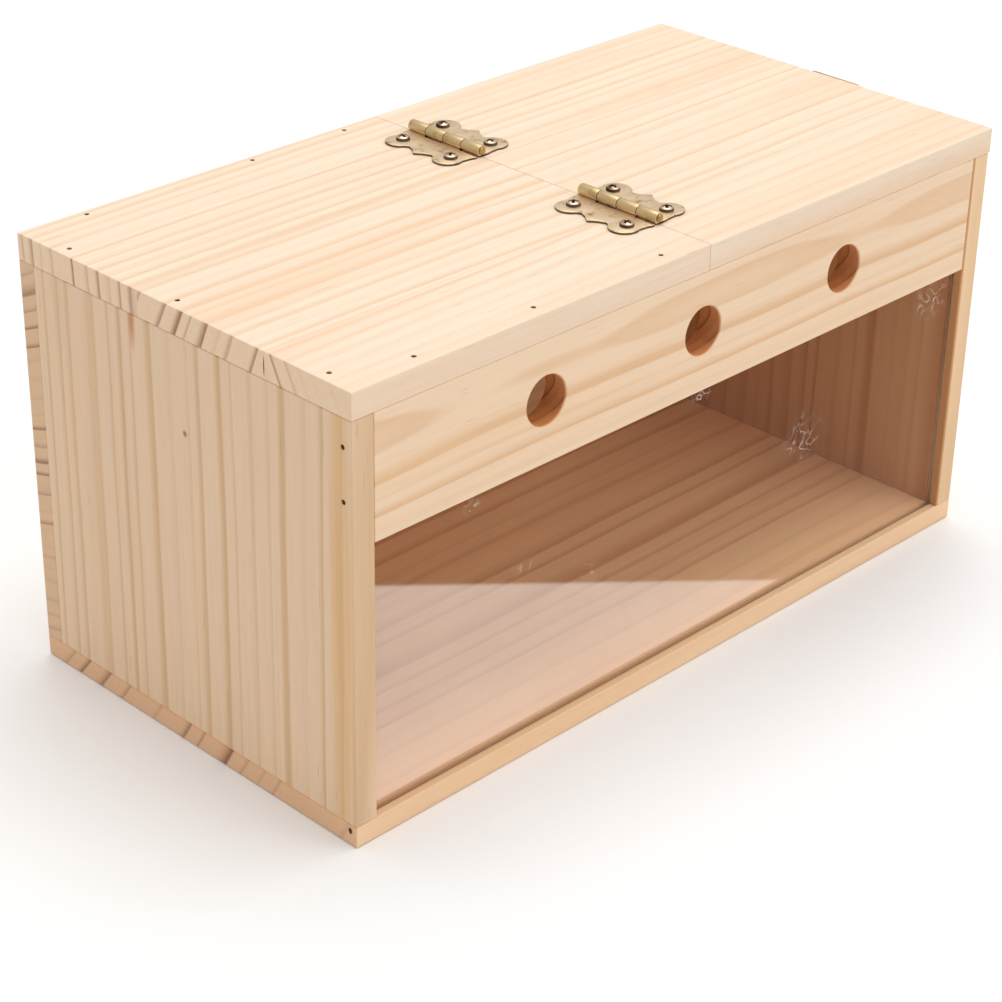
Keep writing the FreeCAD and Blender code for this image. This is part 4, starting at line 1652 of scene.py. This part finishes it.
@dataclass
class HookLatch:
    """The hook and its rivet on the end panel, and the peg on the lid's end edge.

    Args:
        brass: Finish of the plates, hook, peg and rivet.
        screw_metal: Finish of the screws.
        corner: Size of the plates' rounded corners.
        rim: Radius of the soft rims.
        screw_half_spacing: Distance of a screw from the middle of its plate.
        screw_turns: Turn of the heads in degrees: of all, and more by end.
        eye_radius: Outer radius of the hook's eye.
        arm_left: Left side of the hook's arm.
        arm_right: Its right side.
        reach: Distance from the eye to the throat.
        claw_radius: Outer radius of the claw.
        throat_radius: Radius of the throat.
        lip_round: How far the mouth's corners stand back.
        lip_angle: Angle of the claw that those corners take, in degrees.
        tail: Radius and length of the tails of the rivet and the peg.
        collar: Radius of the rivet's collar, and height of its top.
        rivet_radius: Radius of the rivet's shank.
        rivet_head: Radius and height of the rivet's head, and the radius of its flat.
        peg_radius: Radius of the peg's shank.
        peg_head: Radius and height of the peg's head.
        crown: Height of the cone on both heads.
        screw_shank: Corners of a screw's shank, as radius and height in millimetres.
        head: Shape of the screws' heads.
    """

    brass: bpy.types.Material
    screw_metal: bpy.types.Material
    corner: float = 2.0 * MM
    rim: float = 0.25 * MM
    screw_half_spacing: float = 8.0 * MM
    screw_turns: tuple[float, float] = (20.0, 35.0)
    eye_radius: float = 3.4 * MM
    arm_left: float = -2.5 * MM
    arm_right: float = 0.9 * MM
    reach: float = 22.0 * MM
    claw_radius: float = 3.8 * MM
    throat_radius: float = 1.9 * MM
    lip_round: float = 0.35 * MM
    lip_angle: float = 8.0
    tail: tuple[float, float] = (1.0 * MM, 5.2 * MM)
    collar: tuple[float, float] = (2.3 * MM, 6.3 * MM)
    rivet_radius: float = 1.5 * MM
    rivet_head: tuple[float, float, float] = (2.5 * MM, 1.05 * MM, 1.4 * MM)
    peg_radius: float = 1.3 * MM
    peg_head: tuple[float, float] = (2.3 * MM, 0.9 * MM)
    crown: float = 0.35 * MM
    screw_shank: tuple[tuple[float, float], ...] = (
        (0.0, -9.0),
        (0.95, -8.0),
        (0.95, -0.9),
        (1.7, -0.05),
        (0.0, -0.04),
    )
    head: CrossHead = CrossHead(1.8 * MM, 0.28 * MM, 0.05 * MM, 2.1 * MM, 0.5 * MM, 0.35 * MM)

    def upright(self, x: float, y: float, z: float) -> Matrix:
        """Stands a flat plate up: across to +Y, up to +Z and its thickness to +X."""
        return Matrix(((0, 0, 1, x), (1, 0, 0, y), (0, 1, 0, z), (0, 0, 0, 1)))

    def plate(self, node: str) -> Surface:
        """A rounded plate as large as its frame node.

        Args:
            node: The frame node.

        Returns:
            The plate.
        """
        low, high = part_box(node)
        half, tall = (high.y - low.y) / 2, (high.z - low.z) / 2
        outline = eased([(-half, -tall), (half, -tall), (half, tall), (-half, tall)], self.corner, 7)
        middle = (low + high) / 2
        return slab(outline, high.x - low.x, self.rim).moved(self.upright(low.x, middle.y, middle.z))

    def hook_outline(self) -> np.ndarray:
        """The hook's outline, anticlockwise, with its eye at the origin and its throat below.

        It is the eye's arc, the arm's straight left side, the claw's outer arc to the lower lip, the mouth's
        lower side, the throat's arc, the mouth's upper side, and the claw's arc up to the arm's right side.

        Returns:
            Points of the outline.
        """
        claw, eye, throat = self.claw_radius, self.eye_radius, self.throat_radius
        low = (0.0, -self.reach)
        lip = math.degrees(math.asin(throat / claw))
        left_claw = math.degrees(math.acos(self.arm_left / claw))
        right_claw = math.degrees(math.acos(self.arm_right / claw))
        left_eye = 360.0 - math.degrees(math.acos(self.arm_left / eye))
        right_eye = -math.degrees(math.acos(self.arm_right / eye))
        mouth = claw * math.cos(math.radians(lip)) - self.lip_round
        return np.concatenate(
            [
                arc((0.0, 0.0), eye, right_eye, left_eye, 30),
                arc(low, claw, left_claw, 360.0 - lip - self.lip_angle, 26),
                [(mouth, low[1] - throat)],
                arc(low, throat, 270.0, 90.0, 14),
                [(mouth, low[1] + throat)],
                arc(low, claw, lip + self.lip_angle, right_claw, 8),
            ]
        )

    def peg(self, node: str, steps: Sequence[tuple[float, float]]) -> Surface:
        """A headed pin along +X from the foot of its node, with soft rims.

        Args:
            node: The frame node.
            steps: Radius and height of each corner of its profile.

        Returns:
            The pin.
        """
        low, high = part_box(node)
        middle = (low + high) / 2
        profile = eased([(0.0, 0.0), *steps, (0.0, high.x - low.x)], self.rim, 4, closed=False)
        return turned(profile, 32).moved(stand((low.x, middle.y, middle.z), RIGHTWARD))

    def screws(self, plate: str) -> Surface:
        """A plate's two screws, their low domes just proud of its face.

        Args:
            plate: The plate's frame node.

        Returns:
            Both screws.
        """
        face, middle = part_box(plate)[1].x, middle_of(plate)
        first, by_end = self.screw_turns
        shank = turned(np.array(self.screw_shank) * MM, 20)
        screw = joined([self.head.surface(), shank])
        parts = []
        for end in (-1, 1):
            spot = (face, middle.y + end * self.screw_half_spacing, middle.z)
            parts.append(screw.moved(stand(spot, RIGHTWARD, math.radians(first + by_end * end))))
        return joined(parts)

    def build(self) -> None:
        """Makes the two plates, their screws, the peg, the rivet and the hook."""
        low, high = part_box("latch_hook")
        rivet = middle_of("latch_rivet")
        hook = slab(self.hook_outline(), high.x - low.x, self.rim)
        hook = hook.moved(self.upright(low.x, rivet.y, rivet.z))
        tail, tail_end = self.tail
        collar, collar_end = self.collar
        head, head_height, flat = self.rivet_head
        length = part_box("latch_rivet")[1].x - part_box("latch_rivet")[0].x
        rivet_steps = [
            (tail, 0.0),
            (tail, tail_end),
            (collar, tail_end),
            (collar, collar_end),
            (self.rivet_radius, collar_end),
            (self.rivet_radius, length - head_height),
            (head, length - head_height),
            (head, length - self.crown),
            (flat, length),
        ]
        head, head_height = self.peg_head
        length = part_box("latch_peg")[1].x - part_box("latch_peg")[0].x
        peg_steps = [
            (tail, 0.0),
            (tail, tail_end),
            (self.peg_radius, tail_end),
            (self.peg_radius, length - head_height),
            (head, length - head_height),
            (head, length - self.crown),
            (self.peg_radius, length),
        ]
        pieces = [
            ("latch_peg_base", self.plate("latch_peg_plate"), Body.LID, "latch_peg_plate", self.brass),
            ("latch_hook_base", self.plate("latch_hook_plate"), Body.BOX, "latch_hook_plate", self.brass),
            ("latch_peg_pin", self.peg("latch_peg", peg_steps), Body.LID, "latch_peg", self.brass),
            ("latch_hook_rivet", self.peg("latch_rivet", rivet_steps), Body.BOX, "latch_rivet", self.brass),
            ("latch_swing_hook", hook, Body.HOOK, "latch_hook", self.brass),
        ]
        for plate, body in (("latch_peg_plate", Body.LID), ("latch_hook_plate", Body.BOX)):
            node = f"{plate}_screws"
            pieces.append((f"{node}_heads", self.screws(plate), body, node, self.screw_metal))
        for name, shape, body, node, metal in pieces:
            add_piece(name, shape, body, [node], metal)


@dataclass
class HangingKit:
    """Three bolts with their dished washers and wing nuts.

    Args:
        zinc: Finish of the bolts and nuts.
        steel: Finish of the washers.
        thread: Thread of the bolts.
        head_height: Height of a bolt's head.
        head_flats: Width of the head across its flats.
        head_chamfer: Chamfer at the head's face.
        seat_chamfer: Chamfer at its seat.
        wing_span: Width over both wings.
        wing_ear: Radius of a wing's round end.
        wing_thickness: Thickness of a wing.
        wing_height: Height of the end of a wing's path.
        wing_root: Where a wing's path starts, out and up.
        wing_root_half: Half height of a wing at that start.
        wing_lead: Direction in which a wing's end closes.
    """

    zinc: bpy.types.Material
    steel: bpy.types.Material
    thread: Thread = Thread()
    head_height: float = 3.5 * MM
    head_flats: float = 8.0 * MM
    head_chamfer: float = 0.5 * MM
    seat_chamfer: float = 0.15 * MM
    wing_span: float = 27.0 * MM
    wing_ear: float = 3.1 * MM
    wing_thickness: float = 2.6 * MM
    wing_height: float = 9.2 * MM
    wing_root: tuple[float, float] = (3.0 * MM, 3.2 * MM)
    wing_root_half: float = 2.3 * MM
    wing_lead: tuple[float, float] = (0.86, 0.5)

    def bolt_head(self) -> Surface:
        """A hexagon head, chamfered at both faces.

        The radius is half the flats over the cosine of the angle from the nearest flat's middle, or a cone's
        where that is less.

        Returns:
            The head, its face at the origin.
        """
        angle = np.linspace(0.0, TURN, 96, endpoint=False)
        sixth = TURN / 6
        hexagon = self.head_flats / 2 / np.cos(np.mod(angle, sixth) - sixth / 2)
        rise = np.array([0.0, 0.12, 0.3, 0.5, 0.8, 1.0])[:, None]
        height = rise * self.head_height
        inset = np.maximum(self.head_chamfer - height * 1.1, height - self.head_height + self.seat_chamfer)
        cone = self.head_flats / 2 * 1.155 - np.maximum(inset, 0.0) * 1.3
        radius = np.minimum(hexagon[None], cone)
        rings = np.stack([radius * np.cos(angle), radius * np.sin(angle), height + 0 * radius], axis=-1)
        return skinned(rings, (0, 0, 0), (0, 0, self.head_height))

    def washer(self) -> Surface:
        """The dished washer, a coned flange round a cupped middle, turned from a closed outline.

        Returns:
            The washer.
        """
        under = [(4.7, 0.3), (7.8, 0.3), (9.9, 1.3), (10.7, 1.3), (17.5, 0.0), (19.0, 0.0)]
        over = [(radius, height + 1.2) for radius, height in reversed(under)]
        return turned(eased(np.array(under + over) * MM, 0.55 * MM, 5), 96, ring=True)

    def wing(self, side: int) -> Surface:
        """One wing: ellipses carried along a bent path from the body to the ear.

        With s from 0 to 1 the path runs from the root to the end, outwards as s^0.9 and upwards as s^1.4. An
        ellipse's half height runs from the root's to the ear's radius as s^2, and its half thickness is
        constant. Over the last stretch the height closes as a circle does, and the thickness as the root
        of that.

        Args:
            side: 1 for the wing along +X, -1 for the other.

        Returns:
            The wing.
        """
        steps, end_steps = 22, 8
        s = np.linspace(0.0, 1.0, steps)
        reach = self.wing_span / 2 - self.wing_ear
        out_root, up_root = self.wing_root
        x, z = out_root + (reach - out_root) * s**0.9, up_root + (self.wing_height - up_root) * s**1.4
        tip = np.linspace(0.0, 1.0, end_steps + 1)[1:]
        x = np.concatenate([x, x[-1] + self.wing_lead[0] * self.wing_ear * np.sin(tip * math.pi / 2)])
        z = np.concatenate([z, z[-1] + self.wing_lead[1] * self.wing_ear * np.sin(tip * math.pi / 2)])
        close = np.concatenate([np.ones(steps), np.cos(tip * math.pi / 2)])
        grown = self.wing_root_half + (self.wing_ear - self.wing_root_half) * s**2
        half = np.concatenate([grown, np.full(end_steps, self.wing_ear)]) * close
        thick = self.wing_thickness / 2 * np.sqrt(close)
        along = np.stack([np.gradient(x), np.gradient(z)], axis=-1)
        along /= np.linalg.norm(along, axis=1, keepdims=True)
        angle = np.linspace(0.0, TURN, 28, endpoint=False)[None]
        across, out = np.cos(angle) * half[:, None], np.sin(angle) * thick[:, None]
        sideways, upwards = x[:, None] - along[:, 1:] * across, z[:, None] + along[:, :1] * across
        rings = np.stack([sideways, -out, upwards], axis=-1)
        ends = [(x[0], 0.0, z[0]), (x[-1], 0.0, z[-1])]
        wing = skinned(rings[:-1], *ends)
        if side > 0:
            return wing
        return wing.moved(Matrix.Rotation(math.pi, 4, "Z"))

    def nut(self) -> Surface:
        """The wing nut, its foot at the origin.

        Returns:
            The nut.
        """
        loop = [(2.55, 0.0), (5.6, 0.0), (5.4, 1.4), (4.6, 6.0), (2.55, 6.0)]
        body = turned(eased(np.array(loop) * MM, 0.5 * MM, 4), 48, ring=True)
        return joined([body, self.wing(1), self.wing(-1)])

    def build(self) -> None:
        """Makes the three sets."""
        washer, nut = self.washer(), self.nut()
        for number, place in enumerate(("left", "right", "lower")):
            low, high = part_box(f"hanging_bolt_{place}")
            middle = (low + high) / 2
            at_bolt = stand((middle.x, low.y, middle.z), BACKWARD)
            rod = self.thread.surface(self.head_height - 0.2 * MM, high.y - low.y)
            bolt = joined([self.bolt_head(), rod]).moved(at_bolt)
            add_piece(f"bolt_{place}", bolt, Body.BOX, [f"hanging_bolt_{place}"], self.zinc)
            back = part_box(f"dished_washer_{place}")[0].y
            shape = washer.moved(stand((middle.x, back, middle.z), BACKWARD))
            nodes = [f"dished_washer_{place}"]
            add_piece(f"washer_{place}_disc", shape, f"washer_{place}", nodes, self.steel)
            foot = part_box(f"wing_nut_{place}")[0].y
            shape = nut.moved(stand((middle.x, foot, middle.z), BACKWARD))
            nodes = [f"wing_nut_{place}"]
            add_piece(f"nut_{place}_wings", shape, f"nut_{place}", nodes, self.zinc)


@dataclass
class Perch:
    """The turned perch and its threaded stud.

    Args:
        wood: Finish of the perch.
        metal: Finish of the stud.
        thread: Thread of the stud.
        socket_depth: Depth of the stud's socket.
        socket_gap: Gap between the thread and the socket's wall.
        end_round: Rounding of the perch's ends.
        nose: Size of the small cone in the middle of its free end.
    """

    wood: bpy.types.Material
    metal: bpy.types.Material
    thread: Thread = Thread()
    socket_depth: float = 24.4 * MM
    socket_gap: float = 0.05 * MM
    end_round: float = 1.1 * MM
    nose: float = 0.5 * MM

    def build(self) -> None:
        """Makes the perch and the stud."""
        low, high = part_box("perch_dowel")
        middle = (low + high) / 2
        radius, length = (high.x - low.x) / 2, high.y - low.y
        socket = self.thread.radius + self.socket_gap
        profile = eased(
            [
                (0.0, self.socket_depth),
                (socket, self.socket_depth),
                (socket, 0.0),
                (radius, 0.0),
                (radius, length),
                (self.nose, length),
                (0.0, length - self.nose),
            ],
            self.end_round,
            6,
            closed=False,
        )
        dowel = turned(profile, 64).moved(stand((middle.x, low.y, middle.z), BACKWARD))
        add_piece("perch_rod", dowel, Body.PERCH, ["perch_dowel"], self.wood)
        low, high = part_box("perch_stud")
        rod = self.thread.surface(0.0, high.y - low.y).moved(stand((middle.x, low.y, middle.z), BACKWARD))
        add_piece("perch_screw", rod, Body.PERCH_THREAD, ["perch_stud"], self.metal)


# Studio -------------------------------------------------------------------------------------------


@dataclass
class Studio:
    """A pale floor, soft lamps and the camera.

    Args:
        eye: Where the camera stands.
        look: Which way it looks.
        head: Which way its top points.
        lens: Focal length in millimetres.
        sensor: Width of the sensor in millimetres.
        floor_size: Width of the floor.
        floor_drop: How far the floor lies below the object.
        sky: Strength of the surround.
        aim_height: Height at which the lamps are aimed.
    """

    eye: tuple[float, float, float] = (-0.57667, -0.55114, 0.47148)
    look: tuple[float, float, float] = (0.627343, 0.611501, -0.482189)
    head: tuple[float, float, float] = (0.33222, 0.34986, 0.87591)
    lens: float = 93.1
    sensor: float = 36.0
    floor_size: float = 14.0
    floor_drop: float = 0.2 * MM
    sky: float = 0.66
    aim_height: float = 0.08

    def camera(self) -> None:
        """Places the camera from its look and head directions."""
        data = bpy.data.cameras.new("camera")
        data.lens, data.sensor_width = self.lens, self.sensor
        data.clip_start = 0.01
        camera = bpy.data.objects.new("camera", data)
        bpy.context.scene.collection.objects.link(camera)
        back = -Vector(self.look).normalized()
        side = Vector(self.head).cross(back).normalized()
        top = back.cross(side)
        turn = Matrix((side, top, back)).transposed().to_4x4()
        camera.matrix_world = Matrix.Translation(Vector(self.eye)) @ turn
        bpy.context.scene.camera = camera

    def lamp(self, name: str, place: Sequence[float], size: float, power: float) -> None:
        """Adds a square soft lamp that faces the middle of the object.

        Args:
            name: Its name.
            place: Where it hangs.
            size: Its width.
            power: Its power in watts.
        """
        data = bpy.data.lights.new(name, "AREA")
        data.size, data.energy = size, power
        lamp = bpy.data.objects.new(name, data)
        bpy.context.scene.collection.objects.link(lamp)
        aim = Vector(place) - Vector((0.0, 0.0, self.aim_height))
        turn = aim.to_track_quat("Z", "Y").to_matrix().to_4x4()
        lamp.matrix_world = Matrix.Translation(Vector(place)) @ turn

    def sheet(self, name: str, corners: Sequence[Sequence[float]], material: bpy.types.Material) -> None:
        """Adds a flat sheet to the stage.

        Args:
            name: Its name.
            corners: Its corners in order.
            material: Its material.
        """
        mesh = bpy.data.meshes.new(name)
        mesh.from_pydata([tuple(corner) for corner in corners], [], [tuple(range(len(corners)))])
        mesh.materials.append(material)
        sheet = bpy.data.objects.new(name, mesh)
        bpy.context.scene.collection.objects.link(sheet)

    def floor(self) -> None:
        """The pale floor, just under the object, with a barely uneven tone."""
        material, graph, shader, place = new_material("pale floor")
        cloud = graph.noise(place, (3.0, 3.0, 3.0), 1.0, 3.0)
        graph.feed(graph.mix(cloud, (0.90, 0.90, 0.90), (0.94, 0.94, 0.94)), shader.inputs["Base Color"])
        shader.inputs["Roughness"].default_value = 0.7
        shader.inputs["Specular IOR Level"].default_value = 0.2
        half, z = self.floor_size / 2, -self.floor_drop
        corners = [(-half, -half, z), (half, -half, z), (half, half, z), (-half, half, z)]
        self.sheet("floor", corners, material)

    def world(self) -> None:
        """An even pale surround."""
        world = bpy.data.worlds.new("surround")
        world.use_nodes = True
        shade = world.node_tree.nodes["Background"]
        shade.inputs["Color"].default_value = (1.0, 1.0, 1.0, 1.0)
        shade.inputs["Strength"].default_value = self.sky
        bpy.context.scene.world = world

    def build(self) -> None:
        """Sets the whole stage."""
        self.camera()
        self.world()
        self.floor()
        self.lamp("overhead", (0.5, 0.1, 3.0), 2.6, 56.0)
        self.lamp("front", (0.9, -1.8, 1.2), 1.2, 6.0)
        bpy.context.scene.view_settings.view_transform = "Standard"


def main() -> None:
    """Builds the model in order and reports each piece."""
    logging.basicConfig(level=logging.INFO, format="%(name)s %(message)s")
    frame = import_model()
    patterns = Patterns()
    Boards(frame, patterns).build()
    Pane(patterns).build()
    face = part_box("front_hinge_lid_leaf")[0].z + ButterflyHinge.sheet
    leaf = MetalFinish(
        "antique brass, leaves",
        tint(234, 208, 172),
        tint(164, 130, 96),
        cover=0.5,
        scratch=0.45,
        gloss=0.42,
        raised=tint(206, 178, 122),
        raised_at=face + 0.3 * MM,
        low=tint(62, 42, 30),
        low_at=face - 0.02 * MM,
        blend=0.2 * MM,
    ).material(patterns)
    plate = MetalFinish(
        "antique brass, latch",
        tint(208, 180, 138),
        tint(138, 108, 76),
        cover=0.45,
        scratch=0.45,
        gloss=0.32,
        seed=7.0,
    ).material(patterns)
    pin = MetalFinish(
        "antique brass, pins",
        tint(180, 152, 100),
        tint(84, 62, 40),
        cover=0.5,
        scratch=0.4,
        gloss=0.3,
        seed=3.0,
    ).material(patterns)
    # Painted shade: the low colour darkens the cross slots and the outer ring of each head, down to the leaf.
    screw = MetalFinish(
        "antique brass, hinge screws",
        tint(216, 192, 166),
        tint(112, 82, 64),
        cover=0.6,
        gloss=0.36,
        seed=5.0,
        low=tint(50, 30, 22),
        low_at=face + 1.05 * MM,
        blend=0.35 * MM,
    ).material(patterns)
    flush = MetalFinish(
        "antique brass, latch screws",
        tint(196, 170, 136),
        tint(96, 72, 54),
        cover=0.5,
        scratch=0.4,
        gloss=0.34,
        seed=6.0,
    ).material(patterns)
    for place in ("front", "rear"):
        ButterflyHinge(place, leaf, pin).build()
    HingeScrews(screw).build()
    HookLatch(plate, flush).build()
    zinc = MetalFinish(
        "bright zinc plate",
        tint(226, 226, 228),
        tint(176, 176, 180),
        cover=0.4,
        scratch=0.5,
        gloss=0.2,
    ).material(patterns)
    steel = MetalFinish(
        "dull washer steel",
        tint(186, 186, 186),
        tint(164, 164, 165),
        cover=0.5,
        scratch=0.7,
        gloss=0.38,
    ).material(patterns)
    HangingKit(zinc, steel).build()
    yellow = MetalFinish(
        "yellow zinc",
        tint(196, 172, 112),
        tint(130, 112, 70),
        cover=0.5,
        scratch=0.4,
        gloss=0.28,
    ).material(patterns)
    beech = PineFinish(
        "turned beech",
        Grain.OUTWARD,
        tuple(middle_of("perch_dowel")),
        ((0.05, 0.03),),
        spacing=1.9 * MM,
        wander=5 * MM,
        contrast=0.35,
        warmth=0.4,
        seed=15.0,
        pale=tint(216, 172, 138),
        band=tint(190, 138, 104),
        warm=tint(210, 158, 122),
        end_pale=tint(196, 150, 116),
        end_band=tint(160, 112, 82),
    ).material(patterns)
    Perch(beech, yellow).build()
    Studio().build()


if __name__ == "__main__":
    main()
